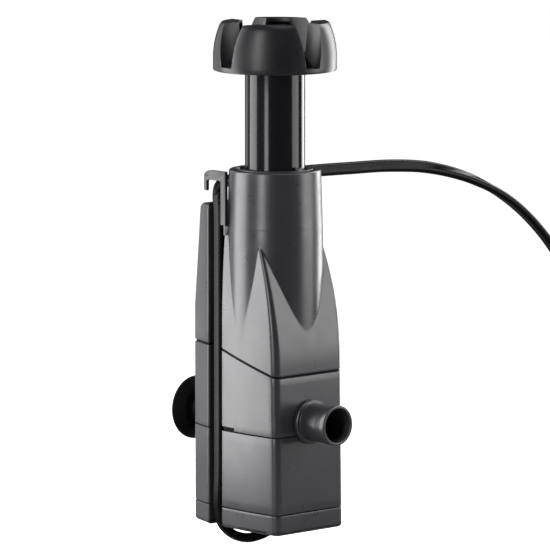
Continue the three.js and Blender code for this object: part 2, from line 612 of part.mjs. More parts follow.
function plugBody() {
  const { rear, reliefLength, length, halfWidth, height, offset, z } = PLUG;
  const front = rear + reliefLength + length;
  const waist = rear + reliefLength;
  const outline = [
    [rear, offset - 3], [waist, offset - 4.4], [waist + 6, offset - halfWidth + 1.5],
    [front - 1.5, offset - halfWidth], [front, offset - halfWidth + 1.5],
    [front, offset + halfWidth - 1.5], [front - 1.5, offset + halfWidth],
    [waist + 6, offset + halfWidth - 1.5], [waist, offset + 4.4], [rear, offset + 3],
  ];
  const block = toSolid(prism(outline, z - height / 2, z + height / 2));
  const profile = [
    [rear - 1, z - 2.6], [rear, z - 2.6], [waist, z - 4], [waist + 5, z - height / 2],
    [front + 1, z - height / 2 + 0.2], [front + 1, z + height / 2 - 0.2], [waist + 5, z + height / 2],
    [waist, z + 4], [rear, z + 2.6], [rear - 1, z + 2.6],
  ];
  const side = toSolid(prism(profile, -40, 40).rotateX(Math.PI / 2));
  return onCoil(block.intersect(side));
}

function plugPin(side) {
  const front = PLUG.rear + PLUG.reliefLength + PLUG.length + GAP;
  const { radius, length } = PIN;
  const pin = revolve([[0, 0], [radius, 0], [radius, length - 1], [1.2, length], [0, length]], 16);
  const y = PLUG.offset + (side * PIN.spacing) / 2;
  return onCoil(pin.rotate([0, 90, 0]).translate([front, y, PLUG.z]));
}

// ---------------------------------------------------------------- assembly

const filter = new THREE.Group();
const design = new THREE.Group();
design.position.copy(ORIGIN).negate();
filter.add(design);

function addPart(name, solid, material) {
  const mesh = new THREE.Mesh(toGeometry(solid), material);
  mesh.name = name;
  design.add(mesh);
}

addPart('upper_housing', upperHousing(), housingPlastic);
addPart('cable_hook', cableHook(), housingPlastic);
addPart('tube_guide_ring', guideRing(), darkPlastic);
addPart('seam_gasket', seamGasket(), blackRubber);
addPart('mid_housing', midHousing(), housingPlastic);
addPart('lower_housing', lowerHousing(), housingPlastic);
addPart('lower_seal', lowerSeal(), blackRubber);
addPart('base_cap', baseCap(), housingPlastic);
addPart('motor_block', motorBlock(), resin);
addPart('volute_ring', voluteRing(), darkPlastic);
addPart('impeller', impeller(), palePlastic);
addPart('rotor_magnet', rotorMagnet(), ferrite);
addPart('rotor_shaft', rotorShaft(), steel);
addPart('lower_bearing', bearing(BEARING.lower), ceramic);
addPart('upper_bearing', bearing(BEARING.upper), ceramic);
addPart('pump_cover', pumpCover(), darkPlastic);
addPart('foam_core', foamCore(), darkPlastic);
addPart('filter_foam', filterFoam(), foamBlue);
addPart('intake_tube', intakeTube(), glossyBlack);
addPart('float_crown', floatCrown(), darkPlastic);
addPart('tube_lock_ring', lockRing(), darkPlastic);
for (let lobe = 0; lobe < 4; lobe += 1) {
  addPart(`float_insert_${lobe + 1}`, floatInsert(lobe), floatFoam);
}
addPart('outlet_nozzle', outletNozzle(), housingPlastic);
addPart('nozzle_seal', nozzleSeal(), blackRubber);
addPart('seal_retainer', sealRetainer(), darkPlastic);
addPart('suction_stud', suctionStud(), darkPlastic);
addPart('suction_cup', suctionCup(), blackRubber);
addPart('cable_gland', cableGland(), blackRubber);
addPart('cord_lead', cordTube(LEAD_ROUTE, CORD.steps), cordSheath);
addPart('cord_coil', cordCoil(), cordSheath);
addPart('cord_tail', cordTube(TAIL_LOCAL.map(onCoilPoint), CORD.tailSteps), cordSheath);
addPart('cord_tie', cordTie(), blackRubber);
addPart('plug_body', plugBody(), cordSheath);
addPart('plug_pin_left', plugPin(1), nickel);
addPart('plug_pin_right', plugPin(-1), nickel);

export default filter;
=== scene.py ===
"""Internal surface-skimmer filter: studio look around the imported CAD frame.

Shapes are worked out in millimetres on the tower's axis, with the foot of the base at Z = 0, the outlet
towards -Y and the glass towards +Y. at() moves such a point into the frame, in metres.
"""

import math

import bmesh
import bpy
import numpy as np
from mathutils import Matrix, Vector


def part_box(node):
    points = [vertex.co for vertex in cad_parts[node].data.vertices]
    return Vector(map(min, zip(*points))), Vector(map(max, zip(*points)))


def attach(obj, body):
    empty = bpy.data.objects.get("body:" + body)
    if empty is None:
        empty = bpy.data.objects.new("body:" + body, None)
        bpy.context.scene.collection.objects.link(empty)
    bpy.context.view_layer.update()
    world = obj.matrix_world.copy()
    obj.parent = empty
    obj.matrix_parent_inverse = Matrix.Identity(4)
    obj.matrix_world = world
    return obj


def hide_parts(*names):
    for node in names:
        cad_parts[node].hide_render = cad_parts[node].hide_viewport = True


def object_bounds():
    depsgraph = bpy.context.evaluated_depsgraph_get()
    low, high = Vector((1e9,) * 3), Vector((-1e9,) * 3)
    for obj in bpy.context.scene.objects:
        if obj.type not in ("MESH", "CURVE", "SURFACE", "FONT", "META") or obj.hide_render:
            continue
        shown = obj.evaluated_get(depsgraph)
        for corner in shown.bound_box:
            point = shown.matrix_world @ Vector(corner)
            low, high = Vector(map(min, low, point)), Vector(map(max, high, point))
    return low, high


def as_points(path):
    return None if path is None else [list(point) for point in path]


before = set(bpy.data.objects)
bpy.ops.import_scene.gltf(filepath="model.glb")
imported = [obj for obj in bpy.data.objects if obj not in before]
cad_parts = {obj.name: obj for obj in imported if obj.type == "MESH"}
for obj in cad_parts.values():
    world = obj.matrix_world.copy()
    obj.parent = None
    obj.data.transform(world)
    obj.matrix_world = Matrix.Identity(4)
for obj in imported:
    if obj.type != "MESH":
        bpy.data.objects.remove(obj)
cad_low, cad_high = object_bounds()

# ---------------- places and sizes, in millimetres

MM = 0.001
tube_low, tube_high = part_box("intake_tube")
AXIS_Y = (tube_low[1] + tube_high[1]) / 2
FOOT_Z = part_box("base_cap")[0][2]


def at(x, y, z):
    return (x * MM, AXIS_Y + y * MM, FOOT_Z + z * MM)


def heights(node):
    """Lowest and highest Z of a CAD node, in design millimetres."""
    low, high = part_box(node)
    return (low[2] - FOOT_Z) / MM, (high[2] - FOOT_Z) / MM


def depths(node):
    """Front and rear Y of a CAD node, in design millimetres."""
    low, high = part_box(node)
    return (low[1] - AXIS_Y) / MM, (high[1] - AXIS_Y) / MM


BASE_BOTTOM, BASE_TOP = heights("base_cap")
LOWER_BOTTOM, LOWER_TOP = heights("lower_housing")
MID_BOTTOM = heights("mid_housing")[0]
TOWER_TOP = heights("upper_housing")[1]
CROWN_TOP = heights("float_crown")[1]
TUBE_BOTTOM, TUBE_TOP = heights("intake_tube")
GUIDE_BOTTOM, GUIDE_TOP = heights("tube_guide_ring")
FLOOR_Z = (cad_low[2] - FOOT_Z) / MM
BACK_Y = depths("lower_housing")[1]
TIP_Y, NOZZLE_INNER_Y = depths("outlet_nozzle")
CUP_FRONT_Y, CUP_RIM_Y = depths("suction_cup")
NOZZLE_Z = sum(heights("outlet_nozzle")) / 2
CUP_Z = sum(heights("suction_cup")) / 2

# The square body: side walls, their bow, the front face at the foot and at the seam, and its corners.
SIDE_X = 18.4
BOW = 0.8
FRONT_FOOT, FRONT_SEAM = -21.0, -20.1
CORNER = 2.7

# Behind it: the rear corners, the spine and the cord's channel in the left rear corner.
REAR_X, REAR_Y = 18.2, 19.6
SPINE_X = 13.6
CHANNEL_X, CHANNEL_Y = -12.5, 11.8

# Heights of the slanting seam at the front, the channel and the spine, and the gap that shows there.
SEAM_FRONT, SEAM_CHANNEL, SEAM_SPINE = 62.8, 71.5, 72.6
GROOVE = 0.9

# The ledge behind the tower, the spine's top and where it starts to lean, and the tower's bore.
LEDGE_Z, SPINE_TOP, SPINE_LEAN_FROM, SPINE_TOP_Y = 121.0, 129.0, 80.0, 27.5
BORE = 15.5

# Hollows: the chamber in front, the pocket in the spine, and the holes for outlet, stud and cord.
CAVITY_X, CAVITY_FRONT, CAVITY_REAR, CAVITY_CORNER = 16.2, -18.3, 10.0, 3.0
POCKET_X, POCKET_FRONT, POCKET_REAR = 10.5, 21.6, 30.9
UPPER_POCKET_REAR, UPPER_POCKET_TOP = 25.4, 112.0
OUTLET_HOLE, STUD_HOLE, CORD_HOLE = 7.95, 3.1, 3.0

# Steps (away from the wall, up from the edge) of a moulded edge with a radius of one.
QUARTER_ROUND = ((1.0, 0.0), (0.62, 0.08), (0.3, 0.3), (0.08, 0.62), (0.0, 1.0))


# ---------------- mesh helpers

def add_object(name, data):
    obj = bpy.data.objects.new(name, data)
    bpy.context.scene.collection.objects.link(obj)
    return obj


def tidy_mesh(obj):
    """Welds points, drops slivers and stray faces, fills small holes and turns the faces outwards."""
    bm = bmesh.new()
    bm.from_mesh(obj.data)
    bmesh.ops.remove_doubles(bm, verts=bm.verts, dist=1e-6)
    bmesh.ops.dissolve_degenerate(bm, edges=bm.edges, dist=1e-7)
    stray = [face for face in bm.faces if all(edge.is_boundary for edge in face.edges)]
    bmesh.ops.delete(bm, geom=stray, context="FACES")
    bmesh.ops.holes_fill(bm, edges=[edge for edge in bm.edges if edge.is_boundary], sides=4)
    bmesh.ops.recalc_face_normals(bm, faces=bm.faces)
    bm.to_mesh(obj.data)
    bm.free()


def shade(obj, sharp):
    obj.data.polygons.foreach_set("use_smooth", [True] * len(obj.data.polygons))
    obj.data.set_sharp_from_angle(angle=math.radians(sharp))


def loft(name, rings, sharp=38, closed=False):
    """A closed mesh of equal rings of design points: a tube with flat ends, or a ring of rings."""
    count = len(rings[0])
    last = (len(rings) - 1) * count
    faces = []
    for i in range(len(rings) - 1):
        for j in range(count):
            k = (j + 1) % count
            faces.append((i * count + j, i * count + k, (i + 1) * count + k, (i + 1) * count + j))
    if closed:
        faces += [(last + j, last + (j + 1) % count, (j + 1) % count, j) for j in range(count)]
    else:
        faces.append(tuple(range(count - 1, -1, -1)))
        faces.append(tuple(range(last, last + count)))
    mesh = bpy.data.meshes.new(name)
    mesh.from_pydata([at(*point) for ring in rings for point in ring], [], faces)
    obj = add_object(name, mesh)
    tidy_mesh(obj)
    shade(obj, sharp)
    return obj


def fillet(corners, steps=5, closed=True):
    """A polyline whose corners (x, y, radius) are rounded by curves."""
    points = []
    count = len(corners)
    for i, (x, y, radius) in enumerate(corners):
        here = Vector((x, y))
        if radius <= 0 or (not closed and i in (0, count - 1)):
            points.append((x, y))
            continue
        before = Vector(corners[i - 1][:2]) - here
        after = Vector(corners[(i + 1) % count][:2]) - here
        half = before.angle(after) / 2
        reach = min(radius / math.tan(half), 0.49 * before.length, 0.49 * after.length)
        start = here + before.normalized() * reach
        end = here + after.normalized() * reach
        middle = (before.normalized() + after.normalized()).normalized()
        centre = here + middle * (reach / math.cos(half))
        r = (start - centre).length
        for s in range(steps + 1):
            blend = start.lerp(end, s / steps) - centre
            p = centre + blend.normalized() * r
            points.append((p.x, p.y))
    return points


def refine(points, step):
    """The closed outline with no side longer than step."""
    out = []
    for i, (x0, y0) in enumerate(points):
        x1, y1 = points[(i + 1) % len(points)]
        parts = max(1, math.ceil(math.hypot(x1 - x0, y1 - y0) / step))
        out += [(x0 + (x1 - x0) * k / parts, y0 + (y1 - y0) * k / parts) for k in range(parts)]
    return out


def inset(points, amount):
    """Moves a counter-clockwise outline inwards."""
    p = np.array(points)
    ahead, behind = np.roll(p, -1, axis=0) - p, p - np.roll(p, 1, axis=0)
    for side in (ahead, behind):
        side /= np.maximum(np.linalg.norm(side, axis=1), 1e-9)[:, None]
    tangent = ahead + behind
    tangent /= np.maximum(np.linalg.norm(tangent, axis=1), 1e-9)[:, None]
    normal = np.stack([-tangent[:, 1], tangent[:, 0]], axis=1)
    return p + normal * amount


def circles(profile, count, place):
    """Circles for (radius, height) pairs; place makes a design point of two offsets and a height."""
    rings = []
    for radius, height in profile:
        ring = []
        for k in range(count):
            a = 2 * math.pi * k / count
            ring.append(place(radius * math.cos(a), radius * math.sin(a), height))
        rings.append(ring)
    return rings


def revolve(name, corners, segments, centre_z=None):
    """Turns a (radius, height, corner radius) profile about Z, or about +Y at centre_z.

    A profile that starts and ends on the axis is a solid; any other one is closed into a ring.
    """
    solid = corners[0][0] == 0 and corners[-1][0] == 0

    def place(u, v, h):
        return (u, v, h) if centre_z is None else (u, h, centre_z + v)

    rings = circles(fillet(corners, 4, closed=not solid), segments, place)
    if solid:
        rings = rings[1:-1]
    return loft(name, rings, closed=not solid)


def boolean(target, tools, operation="DIFFERENCE"):
    """Joins or cuts with exact solids and leaves one clean mesh on the target."""
    for tool in tools:
        modifier = target.modifiers.new("cut", "BOOLEAN")
        modifier.operation = operation
        modifier.solver = "EXACT"
        modifier.object = tool
        apply_modifiers(target)
        bpy.data.objects.remove(tool)
    tidy_mesh(target)
    shade(target, 38)
    return target


def apply_modifiers(obj):
    graph = bpy.context.evaluated_depsgraph_get()
    mesh = bpy.data.meshes.new_from_object(obj.evaluated_get(graph))
    obj.modifiers.clear()
    obj.data = mesh


def soften(obj, width, angle, segments):
    """Rounds the edges sharper than angle degrees by a bevel of width millimetres."""
    modifier = obj.modifiers.new("soften", "BEVEL")
    modifier.width = width * MM
    modifier.segments = segments
    modifier.limit_method = "ANGLE"
    modifier.angle_limit = math.radians(angle)
    apply_modifiers(obj)
    shade(obj, 50)


def block(name, x0, x1, y0, y1, z0, z1):
    ring = [(x0, y0), (x1, y0), (x1, y1), (x0, y1)]
    return loft(name, [[(x, y, z) for x, y in ring] for z in (z0, z1)])


def turned(x, y, z, angle):
    c, s = math.cos(angle), math.sin(angle)
    return (x * c - y * s, x * s + y * c, z)


def smoothstep(value):
    t = min(max(value, 0.0), 1.0)
    return t * t * (3 - 2 * t)


# ---------------- camera, floor and light

CAMERA_AZIMUTH, CAMERA_ELEVATION = -43.0, 7.6
CAMERA_DISTANCE = 2.4
CAMERA_TARGET = Vector(at(0.0, 0.0, 100.8))
FOCAL_LENGTH = 393.0


def direction(azimuth, elevation):
    """Azimuth 0 is straight in front of the outlet, positive to the right."""
    a, e = math.radians(azimuth), math.radians(elevation)
    return Vector((math.sin(a) * math.cos(e), -math.cos(a) * math.cos(e), math.sin(e)))


def aim(obj, target):
    obj.rotation_mode = "QUATERNION"
    obj.rotation_quaternion = (Vector(target) - obj.location).to_track_quat("-Z", "Y")


def make_camera():
    data = bpy.data.cameras.new("camera")
    data.sensor_width = 36.0
    data.lens = FOCAL_LENGTH
    data.clip_start, data.clip_end = 0.05, 100.0
    camera = add_object("camera", data)
    camera.location = CAMERA_TARGET + direction(CAMERA_AZIMUTH, CAMERA_ELEVATION) * CAMERA_DISTANCE
    aim(camera, CAMERA_TARGET)
    bpy.context.scene.camera = camera


def place_lamp(name, data, location, target):
    lamp = add_object(name, data)
    lamp.location = location
    lamp.visible_camera = False
    aim(lamp, target)


def make_card(name, azimuth, half_angle, radiance, distance=0.45, height=0.62, foot=0.0):
    """An upright softbox, foot above the floor; azimuth counts from the camera's, positive to the right."""
    width = 2 * distance * math.tan(math.radians(half_angle))
    data = bpy.data.lights.new(name, "AREA")
    data.shape = "RECTANGLE"
    data.size, data.size_y = width, height
    data.energy = radiance * math.pi * width * height
    centre = Vector(at(0, 0, FLOOR_Z)) + Vector((0, 0, foot + height / 2))
    place_lamp(name, data, centre + direction(CAMERA_AZIMUTH + azimuth, 0) * distance, centre)


FLOOR_HALF = 14.0
FLOOR_GLOW, FLOOR_BOUNCE = 0.95, 0.3
WORLD_COLOUR, WORLD_GLOW = (0.92, 0.95, 1.0, 1.0), 0.06


def make_stage():
    """A white floor to look at, whose reflection in the black plastic is kept dim, as by black flags."""
    z = FOOT_Z + FLOOR_Z * MM
    mesh = bpy.data.meshes.new("floor")
    corners = [(FLOOR_HALF * x, FLOOR_HALF * y, z) for x, y in ((-1, -1), (1, -1), (1, 1), (-1, 1))]
    mesh.from_pydata(corners, [], [(0, 1, 2, 3)])
    add_object("floor", mesh)
    paint, shader = new_material("pale_floor", (0.9, 0.9, 0.9), 0.9, specular=0.0)
    set_sockets(shader, {"Emission Color": (1, 1, 1, 1), "Emission Strength": FLOOR_GLOW})
    mesh.materials.append(paint)
    seen = add_node(paint, "ShaderNodeLightPath")
    dim = add_node(paint, "ShaderNodeBsdfDiffuse", Color=(FLOOR_BOUNCE, FLOOR_BOUNCE, FLOOR_BOUNCE, 1))
    mixed = add_node(paint, "ShaderNodeMixShader")
    link(paint, seen.outputs["Is Camera Ray"], mixed.inputs["Fac"])
    link(paint, dim.outputs["BSDF"], mixed.inputs[1])
    link(paint, shader.outputs["BSDF"], mixed.inputs[2])
    link(paint, mixed.outputs["Shader"], paint.node_tree.nodes["Material Output"].inputs["Surface"])
    world = bpy.data.worlds.new("studio")
    world.use_nodes = True
    set_sockets(world.node_tree.nodes["Background"], {"Color": WORLD_COLOUR, "Strength": WORLD_GLOW})
    bpy.context.scene.world = world
    bpy.context.scene.view_settings.view_transform = "Standard"


def make_lights():
    make_card("left_softbox", -91, 18, 8.2, distance=0.2, height=0.36)
    make_card("front_left_softbox", -33, 7, 10.0, distance=0.9, height=0.9)
    make_card("right_softbox", 85, 16, 5.2, foot=0.03)
    make_card("rim_softbox", 136, 12, 7.5)
    make_card("back_left_softbox", -136, 12, 1.0, distance=0.25, height=0.5)
    data = bpy.data.lights.new("top_softbox", "AREA")
    data.shape = "DISK"
    data.size = 0.5
    data.energy = 2.0
    place_lamp("top_softbox", data, CAMERA_TARGET + direction(CAMERA_AZIMUTH + 40, 78) * 0.9, CAMERA_TARGET)


# ---------------- materials

def set_sockets(node, values):
    for name, value in values.items():
        node.inputs[name].default_value = value


def new_material(name, colour, roughness, metallic=0.0, specular=0.5):
    material = bpy.data.materials.new(name)
    material.use_nodes = True
    shader = material.node_tree.nodes["Principled BSDF"]
    set_sockets(shader, {"Base Color": (*colour, 1), "Roughness": roughness, "Metallic": metallic,
                         "Specular IOR Level": specular})
    return material, shader


def add_node(material, kind, **values):
    node = material.node_tree.nodes.new(kind)
    set_sockets(node, values)
    return node


def link(material, out, into):
    material.node_tree.links.new(out, into)


def add_placed(material, kind, **values):
    """A node that works in object coordinates."""
    node = add_node(material, kind, **values)
    link(material, add_node(material, "ShaderNodeTexCoord").outputs["Object"], node.inputs["Vector"])
    return node


def noise_texture(material, scale, detail, roughness=0.5):
    """Noise in object coordinates, with scale in cells to the metre."""
    return add_placed(material, "ShaderNodeTexNoise", Scale=scale, Detail=detail, Roughness=roughness)


def ramp(material, fac, low, high, start=0.35, end=0.65):
    node = add_node(material, "ShaderNodeValToRGB")
    for stop, position, colour in zip(node.color_ramp.elements, (start, end), (low, high)):
        stop.position = position
        stop.color = (*colour, 1)
    link(material, fac, node.inputs["Fac"])
    return node


def map_value(material, fac, low, high):
    limits = {"From Min": 0.3, "From Max": 0.7, "To Min": low, "To Max": high}
    node = add_node(material, "ShaderNodeMapRange", **limits)
    link(material, fac, node.inputs["Value"])
    return node


def add_bump(material, shader, heights_in, distance):
    """Chains one bump for each height socket, all of the same distance in millimetres."""
    normal = None
    for socket in heights_in:
        bump = add_node(material, "ShaderNodeBump", Strength=1.0, Distance=distance * MM)
        link(material, socket, bump.inputs["Height"])
        if normal is not None:
            link(material, normal, bump.inputs["Normal"])
        normal = bump.outputs["Normal"]
    link(material, normal, shader.inputs["Normal"])


def shade_of(colour, factor):
    return tuple(c * factor for c in colour)


def moulded_plastic(name, colour, roughness, grain=0.003, grain_scale=700.0, variation=0.05, specular=0.5):
    """Satin moulded plastic: spark-eroded grain, faint flow clouds and handled patches."""
    material, shader = new_material(name, colour, roughness, specular=specular)
    clouds = noise_texture(material, 38.0, 4.0)
    darker, paler = shade_of(colour, 1 - variation), shade_of(colour, 1 + variation)
    tone = ramp(material, clouds.outputs["Fac"], darker, paler)
    link(material, tone.outputs["Color"], shader.inputs["Base Color"])
    patches = noise_texture(material, 120.0, 5.0, 0.6)
    gloss = map_value(material, patches.outputs["Fac"], roughness - 0.035, roughness + 0.035)
    link(material, gloss.outputs["Result"], shader.inputs["Roughness"])
    fine = noise_texture(material, grain_scale, 2.0)
    waves = noise_texture(material, 55.0, 1.0)
    add_bump(material, shader, [fine.outputs["Fac"], waves.outputs["Fac"]], grain)
    return material


def soft_rubber(name, colour, roughness, specular):
    """Rubber or soft vinyl: dusty bloom, low relief, broad dull sheen."""
    material, shader = new_material(name, colour, roughness, specular=specular)
    bloom = noise_texture(material, 220.0, 6.0, 0.6)
    tone = ramp(material, bloom.outputs["Fac"], shade_of(colour, 0.8), shade_of(colour, 1.35))
    link(material, tone.outputs["Color"], shader.inputs["Base Color"])
    gloss = map_value(material, bloom.outputs["Fac"], roughness - 0.06, roughness + 0.06)
    link(material, gloss.outputs["Result"], shader.inputs["Roughness"])
    pores = noise_texture(material, 1800.0, 3.0)
    add_bump(material, shader, [pores.outputs["Fac"]], 0.008)
    return material


def open_foam(name, colour, cell=900.0):
    """Cellular foam: dark pores between pale struts, with cell in cells to the metre."""
    material, shader = new_material(name, colour, 0.95)
    cells = add_placed(material, "ShaderNodeTexVoronoi", Scale=cell)
    darker, paler = shade_of(colour, 0.35), shade_of(colour, 1.25)
    tone = ramp(material, cells.outputs["Distance"], darker, paler, 0.1, 0.6)
    link(material, tone.outputs["Color"], shader.inputs["Base Color"])
    add_bump(material, shader, [cells.outputs["Distance"]], 0.4)
    return material


def metal(name, colour, roughness):
    """Ground or plated metal with fine drawn lines."""
    material, shader = new_material(name, colour, roughness, 1.0)
    scale = add_placed(material, "ShaderNodeMapping", Scale=(60.0, 60.0, 2400.0))
    lines = add_node(material, "ShaderNodeTexNoise", Scale=1.0, Detail=3.0)
    link(material, scale.outputs["Vector"], lines.inputs["Vector"])
    gloss = map_value(material, lines.outputs["Fac"], roughness - 0.08, roughness + 0.1)
    link(material, gloss.outputs["Result"], shader.inputs["Roughness"])
    add_bump(material, shader, [lines.outputs["Fac"]], 0.01)
    return material


MATERIALS = {
    "housing_plastic": moulded_plastic("anthracite_plastic", (0.026, 0.026, 0.030), 0.30),
    "crown_plastic": moulded_plastic("crown_plastic", (0.011, 0.011, 0.013), 0.34, specular=0.3),
    "tube_plastic": moulded_plastic("gloss_tube", (0.008, 0.008, 0.010), 0.13, grain=0.002, specular=0.24),
    "inner_plastic": moulded_plastic("inner_plastic", (0.018, 0.018, 0.020), 0.42),
    "rubber": soft_rubber("black_rubber", (0.0012, 0.0012, 0.0014), 0.55, 0.06),
    "cord_sheath": soft_rubber("cord_vinyl", (0.0015, 0.0015, 0.0017), 0.26, 0.08),
    "filter_foam": open_foam("blue_foam", (0.03, 0.11, 0.32)),
    "float": open_foam("float_foam", (0.035, 0.035, 0.037), 1500.0),
    "impeller": moulded_plastic("pale_plastic", (0.58, 0.6, 0.62), 0.35),
    "magnet": moulded_plastic("ferrite", (0.035, 0.034, 0.036), 0.55, grain=0.05, grain_scale=1200.0),
    "ceramic": moulded_plastic("ceramic", (0.8, 0.78, 0.72), 0.2, grain=0.004, variation=0.03),
    "resin": moulded_plastic("potting_resin", (0.012, 0.014, 0.02), 0.3, grain=0.03, grain_scale=400.0),
    "steel": metal("ground_steel", (0.55, 0.56, 0.58), 0.3),
    "nickel": metal("nickel_plate", (0.66, 0.65, 0.62), 0.22),
}


def settle(obj, slot, *nodes, body="housing"):
    """Gives a finished piece its material slot and its body, and hides the CAD nodes it stands for."""
    obj.data.materials.clear()
    obj.data.materials.append(MATERIALS[slot])
    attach(obj, body)
    if nodes:
        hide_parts(*nodes)
    return obj


# ---------------- mains lead

CORD_WIDTH, CORD_THICKNESS = 5.2, 3.4
GLAND_START, CORD_EXIT = (10.4, -10.4, 5.9), (6.5, -6.5, 3.2)
UPRIGHT = (0.0, 0.0, 1.0)
ACROSS = (0.0, 1.0, 0.0)

# Points of the flat lead, each with the direction of its wide side, from the strain relief to the coil.
LEAD_ROUTE = [
    ((6.3, -6.3, 3.0), (0.7, 0.7, 0.0)), ((3.0, -3.0, 0.7), (0.68, 0.68, -0.2)),
    ((-0.7, 0.7, -2.1), (0.64, 0.64, -0.4)), ((-4.2, 4.2, -4.6), (0.64, 0.64, -0.42)),
    ((-8.0, 8.0, -5.8), (0.64, 0.64, -0.42)), ((-11.9, 11.9, -4.4), (0.56, 0.7, -0.4)),
    ((-14.9, 14.8, -0.4), (0.3, 0.9, -0.25)), ((-15.9, 15.8, 5.2), (0.1, 1.0, -0.05)),
    ((-15.8, 15.7, 24.0), ACROSS), ((-15.8, 15.7, 60.0), ACROSS), ((-15.8, 15.7, 95.0), ACROSS),
    ((-15.8, 15.7, 118.0), ACROSS), ((-15.6, 16.0, 126.0), ACROSS),
    ((-14.2, 18.0, 132.4), (0.0, 1.0, -0.1)), ((-10.6, 20.6, 136.0), (-0.1, 1.0, 0.1)),
    ((-5.0, 22.2, 137.3), (-0.1, 0.9, 0.5)), ((3.0, 22.8, 137.6), (0.0, 0.5, 0.8)),
    ((22.0, 22.7, 137.6), UPRIGHT), ((42.0, 22.5, 137.5), UPRIGHT),
    ((63.0, 22.2, 137.0), UPRIGHT), ((85.0, 21.7, 136.3), UPRIGHT),
    ((106.0, 20.0, 134.0), (0.0, 0.4, 0.9)), ((127.0, 17.0, 128.0), (0.0, 0.8, 0.6)),
    ((147.0, 14.0, 117.5), ACROSS), ((165.0, 12.0, 102.0), ACROSS),
    ((180.0, 11.0, 83.0), ACROSS), ((192.0, 11.0, 61.0), ACROSS),
    ((201.0, 11.0, 39.0), ACROSS), ((207.0, 10.0, 20.0), ACROSS),
    ((211.0, 8.5, 7.0), (0.5, 0.8, 0.2)), ((213.6, 3.8, -0.9), (0.9, 0.35, 0.4)),
    ((215.8, -3.0, -4.2), (0.4, 0.1, 0.8)),
]

# The coil's centre, the angle of its first point in degrees, its turns and its outer radius.
COIL_X, COIL_Y, COIL_START, COIL_TURNS, COIL_RADIUS = 188.0, -20.0, 20.5, 6, 32.0
TURN_STEP, LAYER_STEP = 3.55, 5.3

# The turn at which the lead starts to rise, and over how much of a turn.
RISE_TO_UPPER, RISE_TO_PLUG = (2.5, 0.5), (5.78, 0.24)
TAIL_ROUTE = [
    ((-30.6, 9.6, 6.2), (0.1, 0.1, 1.0)), ((-26.6, 14.0, 7.4), (-0.4, 0.6, 0.8)),
    ((-20.6, 16.0, 9.2), (-0.2, 1.0, 0.3)), ((-16.0, 16.2, 10.1), ACROSS),
]
TAIL_START = (-32.0, 4.0)
COIL_AXIS = math.radians(COIL_START) - math.atan2(TAIL_START[1], TAIL_START[0])


def on_coil(x, y, z):
    """From the coil's own frame, with x along the plug, to the design frame."""
    u, v, z = turned(x, y, z, COIL_AXIS)
    return (COIL_X + u, COIL_Y + v, z)


def coil_route():
    """Two layers of three turns: inwards below, up at the middle, outwards above, then up to the plug."""
    low = FLOOR_Z + 1.1 + CORD_WIDTH / 2
    steps = 24
    rises = (RISE_TO_UPPER, RISE_TO_PLUG)
    route = []
    for i in range(COIL_TURNS * steps + 1):
        turn = i / steps
        radius = COIL_RADIUS - TURN_STEP * min(turn, COIL_TURNS - turn)
        angle = math.radians(COIL_START) - 2 * math.pi * turn
        z = low + LAYER_STEP * sum(smoothstep((turn - start) / span) for start, span in rises)
        x, y = COIL_X + radius * math.cos(angle), COIL_Y + radius * math.sin(angle)
        route.append(((x, y, z), UPRIGHT))
    return route


def between(a, b, start, end, t):
    return a * (end - t) / (end - start) + b * (t - start) / (end - start)


def spline(controls, step):
    """A centripetal curve through (point, wide direction) pairs, sampled every step millimetres."""
    p = [np.array(point + wide, dtype=float) for point, wide in controls]
    p = [2 * p[0] - p[1]] + p + [2 * p[-1] - p[-2]]
    dense = []
    for i in range(1, len(p) - 2):
        knots = [0.0]
        for a, b in ((p[i - 1], p[i]), (p[i], p[i + 1]), (p[i + 1], p[i + 2])):
            knots.append(knots[-1] + max(np.linalg.norm((b - a)[:3]) ** 0.5, 1e-6))
        t0, t1, t2, t3 = knots
        count = max(2, int(np.linalg.norm((p[i + 1] - p[i])[:3]) / 0.4))
        for k in range(count):
            t = t1 + (t2 - t1) * k / count
            a1 = between(p[i - 1], p[i], t0, t1, t)
            a2 = between(p[i], p[i + 1], t1, t2, t)
            a3 = between(p[i + 1], p[i + 2], t2, t3, t)
            b1, b2 = between(a1, a2, t0, t2, t), between(a2, a3, t1, t3, t)
            dense.append(between(b1, b2, t1, t2, t))
    dense.append(p[-2])
    dense = np.array(dense)
    along = np.concatenate([[0], np.cumsum(np.linalg.norm(np.diff(dense[:, :3], axis=0), axis=1))])
    samples = np.linspace(0, along[-1], int(along[-1] / step) + 1)
    return np.stack([np.interp(samples, along, dense[:, k]) for k in range(6)], axis=1), along[-1]


def cord_section():
    """Two round cores side by side with a shallow groove between them: (wide, thick) offsets."""
    core = CORD_THICKNESS / 2
    apart = CORD_WIDTH / 2 - core
    points = []
    for side in (1, -1):
        for k in range(9):
            a = math.radians(180 * k / 8 - 90 * side)
            points.append((side * apart + core * math.cos(a), core * math.sin(a)))
        points.append((0.0, side * (core - 0.34)))
    return points


def make_cord():
    """The mains lead in one piece, its length in metres, and the points that it follows."""
    controls = LEAD_ROUTE + coil_route()
    controls += [(on_coil(*point), turned(*wide, COIL_AXIS)) for point, wide in TAIL_ROUTE]
    samples, length = spline(controls, 1.4)
    centres = samples[:, :3]
    tangents = np.gradient(centres, axis=0)
    tangents /= np.linalg.norm(tangents, axis=1)[:, None]
    rings = []
    for centre, tangent, wide in zip(centres, tangents, samples[:, 3:]):
        wide = wide - tangent * np.dot(wide, tangent)
        wide /= np.linalg.norm(wide)
        thick = np.cross(tangent, wide)
        rings.append([tuple(centre + wide * u + thick * v) for u, v in cord_section()])
    cord = loft("mains_lead", rings, sharp=60)
    settle(cord, "cord_sheath", "cord_lead", "cord_coil", "cord_tail")
    path = [at(*c) for c in centres[::2]] + [at(*centres[-1])]
    return cord, length * MM, path


